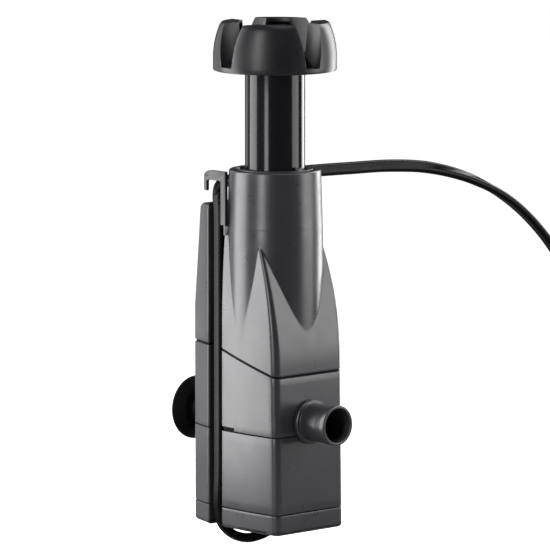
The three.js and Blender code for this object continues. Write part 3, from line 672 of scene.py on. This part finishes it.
def superellipse(half_y, half_z, power):
    """A rounded oblong; a higher power makes it squarer."""
    count = 56
    points = []
    for k in range(count):
        a = 2 * math.pi * k / count
        c, s = math.cos(a), math.sin(a)
        points.append((half_y * math.copysign(abs(c) ** (2 / power), c),
                       half_z * math.copysign(abs(s) ** (2 / power), s)))
    return points


# The plug in the coil's frame: its axis, its ends and waist, and how far its pins are from the axis.
PLUG_Y, PLUG_Z = 16.2, 10.1
PLUG_REAR, PLUG_WAIST, PLUG_FRONT = -16.6, -7.6, 19.4
PIN_SPREAD = 9.3
PIN_PROFILE = [(0.05, 0.0), (2.0, 0.0), (2.0, 17.0), (1.85, 17.5), (1.5, 17.9), (0.05, 18.0)]
SLEEVE_PROFILE = [(2.0, 0.1), (2.12, 0.1), (2.15, 0.4), (2.15, 8.6), (2.05, 9.0), (2.0, 9.0)]


def pin_rings(side, profile):
    """Circles along one pin, from (radius, distance from the plug's face) pairs."""
    centre = PLUG_Y + side * PIN_SPREAD
    return circles(profile, 40, lambda y, z, x: on_coil(PLUG_FRONT + 0.3 + x, centre + y, PLUG_Z + z))


def make_plug():
    """Flat two-pin plug with a ribbed strain relief, lying across the coil."""
    rear, waist, front = PLUG_REAR, PLUG_WAIST, PLUG_FRONT
    levels = [(rear, 2.4, 1.9, 2.2), (rear + 0.3, 3.0, 2.4, 2.2)]
    ribs = 4
    for k in range(ribs):
        x = rear + 0.8 + k * 2.0
        grow = 0.3 * k
        for dx, extra in ((0.0, 0.35), (1.0, 0.35), (1.15, -0.25), (1.85, -0.25)):
            levels.append((x + dx, 3.0 + grow + extra, 2.5 + grow * 0.8 + extra, 2.3))
    levels += [(waist + 0.2, 5.2, 3.8, 2.5), (waist + 2.2, 8.2, 4.8, 2.8), (waist + 4.8, 10.9, 5.6, 3.4)]
    levels += [(waist + 7.5, 12.0, 5.9, 4.2), (4.0, 11.6, 5.9, 4.4), (9.0, 11.5, 5.9, 4.4)]
    levels += [(14.0, 12.0, 5.9, 4.6), (front - 1.6, 12.4, 5.9, 5.0), (front - 0.5, 12.2, 5.7, 5.0)]
    levels += [(front, 11.6, 5.1, 5.0)]
    rings = [[on_coil(x, PLUG_Y + y, PLUG_Z + z) for y, z in superellipse(hy, hz, power)]
             for x, hy, hz, power in levels]
    body = loft("plug_moulding", rings, sharp=40)
    settle(body, "cord_sheath", "plug_body")
    pins = []
    for side, node in ((1, "plug_pin_left"), (-1, "plug_pin_right")):
        pin = loft(node.replace("plug_pin", "contact_pin"), pin_rings(side, PIN_PROFILE))
        pins.append(settle(pin, "nickel", node))
        sleeve = loft(node.replace("plug_pin", "pin_sleeve"), pin_rings(side, SLEEVE_PROFILE), closed=True)
        pins.append(settle(sleeve, "cord_sheath"))
    return [body, *pins]


def make_tie():
    """A rubber band round the coil's turns."""
    inner = COIL_RADIUS - 3 * TURN_STEP - CORD_THICKNESS / 2 - 0.3
    outer = COIL_RADIUS + CORD_THICKNESS / 2 + 0.3
    low, high = FLOOR_Z + 0.85, FLOOR_Z + 1.1 + CORD_WIDTH + LAYER_STEP + 0.3
    angle = math.radians(200)
    section = [(0.0, -1.7), (0.5, -2.0), (0.75, -1.6), (0.8, 0.0), (0.75, 1.6), (0.5, 2.0), (0.0, 1.7)]
    rings = []
    for offset, across in section:
        corners = [(inner - offset, low - offset, 2.0), (outer + offset, low - offset, 2.0),
                   (outer + offset, high + offset, 2.0), (inner - offset, high + offset, 2.0)]
        rings.append([turned(r, across, z, angle) for r, z in fillet(corners, 8)])
    rings = [[(COIL_X + x, COIL_Y + y, z) for x, y, z in ring] for ring in rings]
    tie = loft("cord_band", rings, closed=True)
    return settle(tie, "rubber", "cord_tie")


def make_gland():
    """Tapered, ribbed strain relief under the hollow base."""
    start = Vector(GLAND_START)
    turn = (Vector(CORD_EXIT) - start).normalized().to_track_quat("Z", "Y")
    profile = [(3.6, -1.2), (3.9, 0.0), (4.0, 0.4)]
    for k in range(3):
        x, radius = 0.9 + k * 1.5, 3.8 - 0.3 * k
        profile += [(radius, x), (radius, x + 0.75), (radius - 0.55, x + 0.85), (radius - 0.6, x + 1.4)]
    profile += [(2.9, 5.7), (2.6, 6.1)]
    rings = circles(profile, 48, lambda *offset: tuple(start + turn @ Vector(offset)))
    gland = loft("strain_relief", rings)
    return settle(gland, "rubber", "cable_gland")


def make_lead():
    cord, length, path = make_cord()
    pieces = [*make_plug(), make_tie()]
    at(*CORD_EXIT)
    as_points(path)
    make_gland()


# ---------------- square housing

def front_at(z):
    """Y of the front face at a height, which leans back a little."""
    return FRONT_FOOT + (FRONT_SEAM - FRONT_FOOT) * z / SEAM_FRONT


def seam_at(y):
    """Height of the slanting seam at a depth: level in front and behind, rising in between."""
    if y <= FRONT_SEAM:
        return SEAM_FRONT
    if y >= REAR_Y:
        return SEAM_SPINE
    if y <= CHANNEL_Y:
        return SEAM_FRONT + (SEAM_CHANNEL - SEAM_FRONT) * (y - FRONT_SEAM) / (CHANNEL_Y - FRONT_SEAM)
    return SEAM_CHANNEL + (SEAM_SPINE - SEAM_CHANNEL) * (y - CHANNEL_Y) / (REAR_Y - CHANNEL_Y)


def bowed(x, y, front, bow=BOW):
    """Side walls swell a little between the front corners and the channel."""
    if y > CHANNEL_Y or abs(x) < SIDE_X - 4:
        return x
    half = (CHANNEL_Y - front) / 2
    swell = bow * max(0.0, 1 - ((y - front - half) / half) ** 2)
    return x + math.copysign(swell * smoothstep((abs(x) - SIDE_X + 4) / 4), x)


BODY_OUTLINE = refine(fillet([
    (SPINE_X, BACK_Y, 1.6), (-SPINE_X, BACK_Y, 1.6), (-REAR_X, REAR_Y, 0.7), (CHANNEL_X, REAR_Y, 0.8),
    (CHANNEL_X, CHANNEL_Y, 0.8), (-SIDE_X, CHANNEL_Y, 0.7), (-SIDE_X, FRONT_FOOT, CORNER),
    (SIDE_X, FRONT_FOOT, CORNER), (SIDE_X, CHANNEL_Y, 0), (REAR_X, REAR_Y, 0.8),
], 6), 1.6)


def body_ring(z, drawn_in=0.0):
    """The square body's outline at a height, with the cord's channel in its left rear corner."""
    back = front_at(z) - FRONT_FOOT
    outline = []
    for x, y in BODY_OUTLINE:
        share = min(1.0, max(0.0, (CHANNEL_Y - y) / (CHANNEL_Y - FRONT_FOOT - CORNER)))
        outline.append((bowed(x, y, FRONT_FOOT), y + back * share))
    if drawn_in:
        outline = inset(outline, drawn_in)
    return [(x, y, z) for x, y in outline]


def body_block(name, bottom, top, foot_radius=0.2, rim_radius=0.2):
    """A solid length of the square body, with rounded edges at its foot and its rim."""
    rings = [body_ring(bottom + foot_radius * up, foot_radius * away) for away, up in QUARTER_ROUND]
    span = top - bottom
    rings += [body_ring(bottom + span * k / 8) for k in range(1, 8)]
    rings += [body_ring(top - rim_radius * up, rim_radius * away) for away, up in QUARTER_ROUND[::-1]]
    return loft(name, rings, sharp=42)


def slant(obj, level, fixed, offset):
    """Turns a level rim into the slanting seam, in place.

    The height level moves to the seam plus offset, fixed stays, and what lies between stretches.
    """
    bm = bmesh.new()
    bm.from_mesh(obj.data)
    for y in (CHANNEL_Y, REAR_Y):
        geometry = bm.verts[:] + bm.edges[:] + bm.faces[:]
        bmesh.ops.bisect_plane(bm, geom=geometry, dist=1e-7, plane_co=at(0, y, 0), plane_no=(0, 1, 0))
    for vertex in bm.verts:
        z = (vertex.co.z - FOOT_Z) / MM
        share = min(1.0, max(0.0, (z - fixed) / (level - fixed)))
        rise = seam_at((vertex.co.y - AXIS_Y) / MM) + offset - level
        vertex.co.z += rise * share * MM
    bm.to_mesh(obj.data)
    bm.free()
    shade(obj, 42)


def chamber(gap, bottom, top):
    """A tool for the square hollow in front, smaller by a gap on each side."""
    side, front, rear = CAVITY_X - gap, CAVITY_FRONT + gap, CAVITY_REAR - gap
    corners = [(-side, front), (side, front), (side, rear), (-side, rear)]
    outline = fillet([(x, y, CAVITY_CORNER) for x, y in corners], 5)
    return loft("bay", [[(x, y, z) for x, y in outline] for z in (bottom, top)])


def pocket(side, rear, bottom, top):
    return block("pocket", -side, side, POCKET_FRONT, rear, bottom, top)


def drum(name, radius, bottom, top, x=0.0, y=0.0, segments=96):
    tool = revolve(name, [(0, bottom, 0), (radius, bottom, 0), (radius, top, 0), (0, top, 0)], segments)
    tool.data.transform(Matrix.Translation((x * MM, y * MM, 0)))
    return tool


def cord_hole():
    return drum("cord_hole", CORD_HOLE, 0, 20, *GLAND_START[:2], 32)


def rod(name, radius, y0, y1, z):
    return revolve(name, [(0, y0, 0), (radius, y0, 0), (radius, y1, 0), (0, y1, 0)], 96, z)


def make_middle():
    """The pump housing, up to the slanting seam."""
    rim = SEAM_FRONT - GROOVE / 2
    wall = front_at(NOZZLE_Z)
    mid = body_block("housing_middle", MID_BOTTOM, rim)
    countersink = revolve("sink", [
        (0, -30, 0), (8.6, -30, 0), (8.6, wall + 0.05, 0), (OUTLET_HOLE, wall + 0.7, 0), (0, -19, 0),
    ], 96, NOZZLE_Z)
    tools = [
        chamber(0, 30, 80), drum("round_bay", BORE, 30, 80), pocket(POCKET_X, POCKET_REAR, 30, 80),
        rod("outlet", OUTLET_HOLE, -60, 0, NOZZLE_Z), countersink,
        rod("stud_hole", STUD_HOLE, 29, 60, CUP_Z),
        block("slot", -30, -SIDE_X + 1.9, CHANNEL_Y - 8.2, CHANNEL_Y + 2, 30, MID_BOTTOM + 1.45),
    ]
    slant(boolean(mid, tools), rim, rim - 8, -GROOVE / 2)
    settle(mid, "housing_plastic", "mid_housing")


def make_seam_liners():
    """Dark tongue behind the slanting seam, and a near-black strip behind the slot in the left wall that
    stands in for the shade inside the slot: painted shade.
    """
    rim = SEAM_FRONT - GROOVE / 2
    wall = 0.95
    tongue = loft("seam_tongue", [body_ring(z, 0.6) for z in (rim - 0.3, rim + GROOVE + 0.3)])
    boolean(tongue, [chamber(-wall, 30, 80), drum("round_bay", BORE + wall, 30, 80)])
    slant(tongue, rim - 1, rim - 9, -GROOVE / 2 - 1)
    # Painted shade: a near-black rubber strip at the back of the slot, so that the slot reads dark.
    front, rear = CHANNEL_Y - 8.1, CHANNEL_Y - 0.2
    slot_shade = block("slot_shade_block", -17.2, -16.4, front, rear, LOWER_TOP + 0.1, MID_BOTTOM + 1.4)
    for piece in (tongue, slot_shade):
        settle(piece, "rubber")


def make_lower_and_base():
    """The motor housing and the hollow base that stands on the floor."""
    lower = body_block("housing_lower", LOWER_BOTTOM, LOWER_TOP)
    tools = [chamber(0, 10, 60), pocket(POCKET_X, POCKET_REAR, 10, 60), cord_hole(),
             rod("outlet", OUTLET_HOLE, -60, 0, NOZZLE_Z)]
    settle(boolean(lower, tools), "housing_plastic", "lower_housing")
    base = body_block("base_cover", BASE_BOTTOM - 0.7, BASE_TOP, foot_radius=1.6)
    tools = [chamber(0.3, -5, 5.6), pocket(11, 31, -5, 5.6), cord_hole()]
    settle(boolean(base, tools), "housing_plastic", "base_cap")


# ---------------- tower

TOWER_POINTS = 540
SHOULDER_BOW = 0.82
RIM_RADIUS, COLLAR_RADIUS, COLLAR_Z = 18.4, 19.2, 117.0
TOWER_FOOT = SEAM_FRONT + GROOVE / 2


def cone_at(z):
    """The round tower: slightly wider at its foot, tapering above the shoulders."""
    if z <= COLLAR_Z:
        return COLLAR_RADIUS
    return COLLAR_RADIUS + (RIM_RADIUS - COLLAR_RADIUS) * (z - COLLAR_Z) / (TOWER_TOP - COLLAR_Z)


def side_lean(z):
    """How far the side walls have drawn in at a height."""
    return 0.0011 * max(0.0, z - 80.0) ** 2


def shoulder_outline(z):
    """The square shoulders, whose front leans back until it dives into the round tower."""
    front = FRONT_SEAM + 0.0045 * max(0.0, z - 66.0) ** 2
    side = SIDE_X - side_lean(z)
    radius = CORNER if z < 75 else CORNER + (1.3 - CORNER) * (z - 75) / 39
    radius = max(radius, 1.0)
    corners = [(-side, CHANNEL_Y, 0.7), (-side, front, radius), (side, front, radius), (side, CHANNEL_Y, 0)]
    outline = refine(fillet(corners, 8), 1.2)
    bow = SHOULDER_BOW * (1 - smoothstep((z - SEAM_CHANNEL) / 38))
    return np.array([(bowed(x, y, front, bow), y) for x, y in outline])


def reach(outline, angles):
    """Distance from the axis to a star-shaped outline in each direction."""
    turn = np.arctan2(outline[:, 1], outline[:, 0]) % (2 * math.pi)
    order = np.argsort(turn)
    p, turn = outline[order], turn[order]
    after = np.searchsorted(turn, angles % (2 * math.pi)) % len(p)
    a, b = p[after - 1], p[after]
    edge = b - a
    ray = np.stack([np.cos(angles), np.sin(angles)], axis=1)
    crossing = ray[:, 0] * edge[:, 1] - ray[:, 1] * edge[:, 0]
    return (a[:, 0] * edge[:, 1] - a[:, 1] * edge[:, 0]) / crossing


def merged(a, b, radius):
    """The larger of two radii, with a small fillet where they cross."""
    blend = np.maximum(radius - np.abs(a - b), 0.0) / radius
    return np.maximum(a, b) + blend * blend * radius / 4


def slanted(z, y):
    """Where slant() takes a height of the tower."""
    return z + (seam_at(y) - SEAM_FRONT) * (LEDGE_Z - z) / (LEDGE_Z - TOWER_FOOT)


def make_tower():
    """The upper housing: square shoulders that run into a round tower, with the spine behind."""
    angles = np.arange(TOWER_POINTS) * 2 * math.pi / TOWER_POINTS
    cos, sin = np.cos(angles), np.sin(angles)
    step = 0.5
    levels = np.arange(SEAM_FRONT, LEDGE_Z + 2 * step, step)
    table = np.array([reach(shoulder_outline(z), angles) for z in levels])
    columns = np.arange(TOWER_POINTS)

    def radii_at(z, drawn_in=0.0):
        """Radii for a height before slanting; the shape follows the height after it."""
        radii = np.full(TOWER_POINTS, 20.0)
        for _ in range(3):
            true_z = np.array([slanted(z, y) for y in radii * sin])
            place = np.clip((true_z - SEAM_FRONT) / step, 0, len(levels) - 1.001)
            row = place.astype(int)
            part = place - row
            box = table[row, columns] * (1 - part) + table[row + 1, columns] * part - drawn_in
            radii = merged(np.array([cone_at(h) for h in true_z]), box, 0.12)
        return radii

    rings = []

    def add_ring(radii, z):
        rings.append([(x, y, z) for x, y in zip(radii * cos, radii * sin)])

    for away, up in QUARTER_ROUND:
        add_ring(radii_at(TOWER_FOOT + 0.25 * up) - 0.25 * away, TOWER_FOOT + 0.25 * up)
    rows = 130
    for k in range(1, rows):
        z = TOWER_FOOT + 0.4 + (LEDGE_Z - 0.8 - TOWER_FOOT) * k / rows
        add_ring(radii_at(z), z)
    for away, up in ((0.0, 1.0), (0.12, 0.5), (0.35, 0.14), (0.7, 0.0)):
        add_ring(radii_at(LEDGE_Z - 0.4 * up, 0.5 * away), LEDGE_Z - 0.4 * up)
    plain = np.ones(TOWER_POINTS)
    add_ring(plain * (cone_at(LEDGE_Z) + 0.02), LEDGE_Z + 0.1)
    for z in (LEDGE_Z + 0.4, LEDGE_Z + 6, LEDGE_Z + 14, TOWER_TOP - 4, TOWER_TOP - 0.8):
        add_ring(plain * cone_at(z), z)
    for away, down in ((0.06, 0.45), (0.25, 0.18), (0.5, 0.04), (0.8, 0.0)):
        add_ring(plain * (RIM_RADIUS - away), TOWER_TOP - down)
    tower = loft("tower", rings, sharp=42)
    boolean(tower, [rear_block(), spine_top()], "UNION")
    bore = revolve("bore", [
        (0, 50, 0), (BORE, 50, 0), (BORE, TOWER_TOP - 0.6, 0),
        (BORE + 0.5, TOWER_TOP + 0.05, 0), (BORE + 0.5, 150, 0), (0, 150, 0),
    ], 144)
    boolean(tower, [
        chamber(0, 50, SEAM_FRONT + 4), pocket(POCKET_X, UPPER_POCKET_REAR, 50, UPPER_POCKET_TOP),
        block("peg_hole", -18.1, -16.9, 9, CHANNEL_Y - 0.5, PEG_Z - 0.3, 125),
        block("channel", -30, CHANNEL_X, CHANNEL_Y, REAR_Y + 0.05, 50, 125), bore,
    ])
    slant(tower, TOWER_FOOT, LEDGE_Z, GROOVE / 2)
    settle(tower, "housing_plastic", "upper_housing")


def rear_block():
    """Behind the tower on the right, between the shoulders and the spine."""
    side = SIDE_X - 0.03
    outline = fillet([
        (CHANNEL_X, 9, 0), (side, 9, 0), (side, CHANNEL_Y, 0), (REAR_X, REAR_Y, 0.8),
        (CHANNEL_X, REAR_Y, 0.6),
    ], 4)
    rings = [[(x, y, TOWER_FOOT) for x, y in inset(outline, 0.3)],
             [(x, y, TOWER_FOOT + 0.3) for x, y in outline]]
    levels = [(80, 0), (100, 0.02), (LEDGE_Z - 0.5, 0.04), (LEDGE_Z - 0.15, 0.15), (LEDGE_Z, 0.5)]
    for z, drawn_in in levels:
        rings.append([(x - side_lean(z) * (x > 15), y, z) for x, y in inset(outline, drawn_in)])
    return loft("rear_block", rings)


def spine_ring(z, drawn_in=0.0):
    """The spine's outline at a height, with a tongue in front that runs into the tower."""
    lean = max(0.0, (z - SPINE_LEAN_FROM) / (SPINE_TOP - SPINE_LEAN_FROM))
    back = BACK_Y + (SPINE_TOP_Y - BACK_Y) * lean
    side = REAR_X - (REAR_X - SPINE_X) / (BACK_Y - REAR_Y) * (back - REAR_Y)
    corners = [(side, back, 1.6), (-side, back, 1.6), (-REAR_X, REAR_Y, 0.6), (CHANNEL_X, REAR_Y, 0),
               (CHANNEL_X, 17, 0), (17.2, 17, 0), (REAR_X, REAR_Y, 0.5)]
    outline = fillet(corners, 6)
    if drawn_in:
        outline = inset(outline, drawn_in)
    return [(x, y, z) for x, y in outline]


def spine_top():
    """The rear spine beside the tower, leaning forwards to a rounded end."""
    rings = [spine_ring(TOWER_FOOT + up, drawn_in) for up, drawn_in in ((0, 0.4), (0.1, 0.18), (0.4, 0))]
    rounding = 2.2
    for z in (SPINE_LEAN_FROM, 92, 104, 116, SPINE_TOP - rounding):
        rings.append(spine_ring(z))
    for k in range(1, 7):
        a = math.radians(90 * k / 6)
        rings.append(spine_ring(SPINE_TOP - rounding + rounding * math.sin(a), 2.0 * (1 - math.cos(a))))
    return loft("spine", rings)


# The hook for the lead: its two faces, its post, the end of its arm and its heights.
HOOK_LEFT, HOOK_RIGHT = -18.6, -17.2
POST_FRONT, POST_REAR = 9.0, 12.2
TIP_FRONT, TIP_REAR = 20.0, 21.8
TIP_Z, HOOK_UNDERSIDE, HOOK_TOP = 134.6, 139.0, 143.0
PEG_Z = 117.4


def make_hook():
    """Upright post on a foot, with a bent arm that the lead passes under."""
    foot = LEDGE_Z + 0.3
    outline = fillet([
        (POST_FRONT, foot, 0.3), (POST_REAR, foot, 0.3), (POST_REAR, HOOK_UNDERSIDE, 1.2),
        (TIP_FRONT, HOOK_UNDERSIDE, 1.0), (TIP_FRONT, TIP_Z, 0.3), (TIP_REAR, TIP_Z, 0.6),
        (TIP_REAR, 141.6, 2.0), (19.6, 142.7, 1.4), (17.0, HOOK_TOP, 1.0), (POST_FRONT, HOOK_TOP, 0.6),
    ], 6)
    edge = [(0.0, 0.3), (0.09, 0.1), (0.3, 0.0)]
    sections = [(HOOK_LEFT + across, drawn_in) for across, drawn_in in edge]
    sections += [(HOOK_RIGHT - across, drawn_in) for across, drawn_in in edge[::-1]]
    rings = [[(x, y, z) for y, z in inset(outline, drawn_in)] for x, drawn_in in sections]
    hook = loft("cable_clip", rings, sharp=42)
    peg = block("clip_peg", HOOK_LEFT + 0.8, HOOK_RIGHT - 0.2, 9.8, 11.0, PEG_Z, foot + 0.7)
    settle(boolean(hook, [peg], "UNION"), "crown_plastic", "cable_hook")


# ---------------- skimmer float

# The tube's radii; the crown's foot, floor and bore; half the slots' width below and above; the walls.
TUBE_OUTER, TUBE_INNER = 12.0, 10.8
CROWN_FOOT, CROWN_FLOOR, CROWN_BORE = 183.2, 186.5, 14.7
SLOT_FLOOR, SLOT_FOOT, SLOT_HEAD, SLOT_ANGLE = 185.3, 3.3, 6.0, 5.0
CROWN_WALL, CROWN_ROOF, LOBE_WALL = 1.6, 1.3, 1.0


def crown_radius(z):
    """The crown's outside, which closes in towards its top."""
    return 24.7 - 0.0158 * max(0.0, z - 188.5) ** 2


def slot_bar(turn):
    """A bar through the axis, wider at the top, that parts two pairs of lobes."""
    rise = (SLOT_HEAD - SLOT_FOOT) / (CROWN_TOP - CROWN_FLOOR)
    low, high, top = SLOT_FOOT, SLOT_HEAD + rise, CROWN_TOP + 1
    section = [(-low, SLOT_FLOOR), (low, SLOT_FLOOR), (high, top), (-high, top)]
    angle = math.radians(90 - SLOT_ANGLE + turn)
    return loft("bar", [[turned(x, y, z, angle) for y, z in section] for x in (-40, 40)])


def lobe_cavity(turn):
    """The hollow inside one lobe, open towards the bore."""
    rings = []
    for z in np.linspace(CROWN_FLOOR, CROWN_TOP - CROWN_ROOF, 8):
        up = z - CROWN_FLOOR
        side = SLOT_FOOT + (SLOT_HEAD - SLOT_FOOT) * up / (CROWN_TOP - CROWN_FLOOR) + LOBE_WALL
        outer, inner = crown_radius(z) - CROWN_WALL, CROWN_BORE - 0.6
        ring = []
        for radius, order in ((outer, range(25)), (inner, range(24, -1, -1))):
            start = math.asin(side / radius)
            for k in order:
                a = start + (math.pi / 2 - 2 * start) * k / 24
                ring.append(turned(radius * math.cos(a), radius * math.sin(a), z, math.radians(turn)))
        rings.append(ring)
    return loft("cavity", rings)


def make_crown():
    """The float's crown: four hollow lobes round a bore, on a floor that clips to the tube."""
    outer = [(CROWN_FOOT, 0.6), (CROWN_FOOT + 0.15, 0.2), (CROWN_FOOT + 0.6, 0.0)]
    outer += [(z, 0.0) for z in np.linspace(186, CROWN_TOP - 1.2, 15)]
    profile = [(TUBE_OUTER + 0.3, CROWN_FOOT, 0)]
    profile += [(crown_radius(z) - drawn_in, z, 0) for z, drawn_in in outer]
    profile += [(crown_radius(CROWN_TOP) - 0.3, CROWN_TOP, 0.5)]
    profile += [(CROWN_BORE, CROWN_TOP, 0), (CROWN_BORE, CROWN_FLOOR, 0)]
    profile += [(TUBE_OUTER + 0.3, CROWN_FLOOR, 0)]
    crown = revolve("skimmer_crown", profile, 192)
    boolean(crown, [slot_bar(turn) for turn in (0, 90)])
    boolean(crown, [lobe_cavity(90 * k - SLOT_ANGLE) for k in range(4)])
    soften(crown, 0.28, 40, 3)
    settle(crown, "crown_plastic", "float_crown", body="float")


def make_tube():
    """Telescopic tube: a stop flange inside the tower and a lip under the crown's floor."""
    tube = revolve("telescopic_tube", [
        (TUBE_INNER, TUBE_BOTTOM, 0.3), (14.0, TUBE_BOTTOM, 0.3), (14.0, TUBE_BOTTOM + 2, 0.3),
        (TUBE_OUTER, TUBE_BOTTOM + 2, 0.6), (TUBE_OUTER, TUBE_TOP - 1.2, 0.1), (14.2, TUBE_TOP - 1.2, 0.2),
        (14.2, TUBE_TOP, 0.3), (TUBE_INNER, TUBE_TOP, 0.5),
    ], 160)
    settle(tube, "tube_plastic", "intake_tube", body="float")
    ring = revolve("lock_ring", [
        (TUBE_OUTER + 0.4, TUBE_TOP + 0.3, 0.2), (CROWN_BORE - 0.4, TUBE_TOP + 0.3, 0.2),
        (CROWN_BORE - 0.4, TUBE_TOP + 1.7, 0.4), (TUBE_OUTER + 0.4, TUBE_TOP + 1.7, 0.4),
    ], 128)
    settle(ring, "crown_plastic", "tube_lock_ring", body="float")


def make_guide_ring():
    """Bayonet ring in the tower's mouth, with three lugs to turn it by."""
    ring = revolve("guide_ring", [
        (12.35, GUIDE_BOTTOM, 0.5), (15.2, GUIDE_BOTTOM, 0.3), (15.2, TOWER_TOP + 0.3, 0.25),
        (12.35, TOWER_TOP + 0.3, 0.6),
    ], 144)
    lugs = []
    for degrees in (30, 150, 270):
        angle = math.radians(degrees)
        section = fillet([(12.95, -1.5, 0.4), (15.0, -1.5, 0.4), (15.0, 1.5, 0.4), (12.95, 1.5, 0.4)], 3)
        levels = [(TOWER_TOP - 0.7, 0), (GUIDE_TOP - 0.3, 0), (GUIDE_TOP - 0.08, 0.1), (GUIDE_TOP, 0.3)]
        lugs.append(loft("lug", [[turned(x, y, z, angle) for x, y in inset(section, drawn_in)]
                                 for z, drawn_in in levels]))
    settle(boolean(ring, lugs, "UNION"), "inner_plastic", "tube_guide_ring")


# ---------------- outlet, cup and foam

def make_nozzle():
    """The outlet, which turns in the front wall, with a collar against it."""
    wall = front_at(NOZZLE_Z) - 0.3
    collar = wall - 1.8
    nozzle = revolve("outlet_elbow", [
        (6.8, TIP_Y, 0.35), (8.1, TIP_Y, 0.45), (8.1, TIP_Y + 2.2, 2.0), (7.7, TIP_Y + 5.6, 3.0),
        (7.6, collar - 0.6, 0.5), (7.6, collar, 0.5), (8.55, collar, 0.3), (8.85, collar + 0.5, 0.3),
        (8.85, wall, 0.2), (7.6, wall, 0), (7.6, NOZZLE_INNER_Y, 0.4), (6.2, NOZZLE_INNER_Y, 0.3),
        (6.2, collar, 0.2), (6.8, collar, 0.2),
    ], 128, NOZZLE_Z)
    settle(nozzle, "housing_plastic", "outlet_nozzle", body="nozzle")


CUP_RADIUS = 12.9


def make_cup():
    """Hollow rubber cup on its stud, open towards the glass."""
    cup = revolve("holding_cup", [
        (4.7, CUP_FRONT_Y, 0.5), (5.5, CUP_FRONT_Y, 0.7), (5.8, CUP_FRONT_Y + 1.6, 0.5),
        (6.6, CUP_FRONT_Y + 3.0, 1.2), (9.2, 43.2, 2.5), (11.7, 45.6, 1.5), (CUP_RADIUS, 46.8, 0.4),
        (CUP_RADIUS, CUP_RIM_Y, 0.2), (11.3, CUP_RIM_Y, 0.5), (9.8, 45.4, 1.2), (6.4, 44.1, 1.0),
        (0.05, 43.6, 0), (0.05, 42.2, 0), (4.7, 42.2, 0.3),
    ], 128, CUP_Z)
    settle(cup, "rubber", "suction_cup")
    stud = revolve("cup_stud", [
        (0, 29.4, 0), (4.2, 29.4, 0.2), (4.2, 30.6, 0.2), (2.8, 30.6, 0), (2.8, 33.4, 0),
        (5.4, 33.4, 0.3), (5.4, 36.4, 0.5), (3.2, 37.0, 0.3), (3.0, 39.0, 0.3), (4.4, 39.4, 0.2),
        (4.4, 41.4, 0.4), (0, 41.8, 0),
    ], 96, CUP_Z)
    settle(stud, "inner_plastic", "suction_stud")


FOAM_RADIUS, FOAM_BORE = 15.0, 5.0


def make_foam():
    """The filter cartridge, with soft ends and a slightly uneven skin."""
    low, high = heights("filter_foam")
    profile = [(FOAM_BORE, low, 0.5), (FOAM_RADIUS, low, 1.2)]
    profile += [(FOAM_RADIUS, low + (high - low) * k / 10, 0) for k in range(1, 10)]
    profile += [(FOAM_RADIUS, high, 1.2), (FOAM_BORE, high, 0.5)]
    foam = revolve("foam_cartridge", profile, 96)
    for vertex in foam.data.vertices:
        x, y = vertex.co.x, vertex.co.y - AXIS_Y
        a = math.atan2(y, x)
        broad = 0.16 * math.sin(9 * a + 60 * vertex.co.z)
        narrow = 0.12 * math.sin(17 * a - 210 * vertex.co.z)
        grow = 1 + (broad + narrow - 0.28) / FOAM_RADIUS
        vertex.co.x, vertex.co.y = x * grow, AXIS_Y + y * grow
    settle(foam, "filter_foam", "filter_foam")


INTERNAL_FINISHES = {
    "resin": ["motor_block"],
    "inner_plastic": ["volute_ring", "pump_cover", "foam_core", "seal_retainer"],
    "impeller": ["impeller"],
    "magnet": ["rotor_magnet"],
    "steel": ["rotor_shaft"],
    "ceramic": ["lower_bearing", "upper_bearing"],
    "rubber": ["nozzle_seal", "seam_gasket", "lower_seal"],
    "float": ["float_insert_1", "float_insert_2", "float_insert_3", "float_insert_4"],
}


def finish_internals():
    """Parts that keep their CAD shape get their finish and smooth round faces."""
    for finish, nodes in INTERNAL_FINISHES.items():
        for node in nodes:
            obj = bpy.data.objects[node]
            obj.data.materials.clear()
            obj.data.materials.append(MATERIALS[finish])
            shade(obj, 35)


make_camera()
make_lead()
make_middle()
make_seam_liners()
make_lower_and_base()
make_tower()
make_hook()
make_crown()
make_tube()
make_guide_ring()
make_nozzle()
make_cup()
make_foam()
finish_internals()
make_stage()
make_lights()
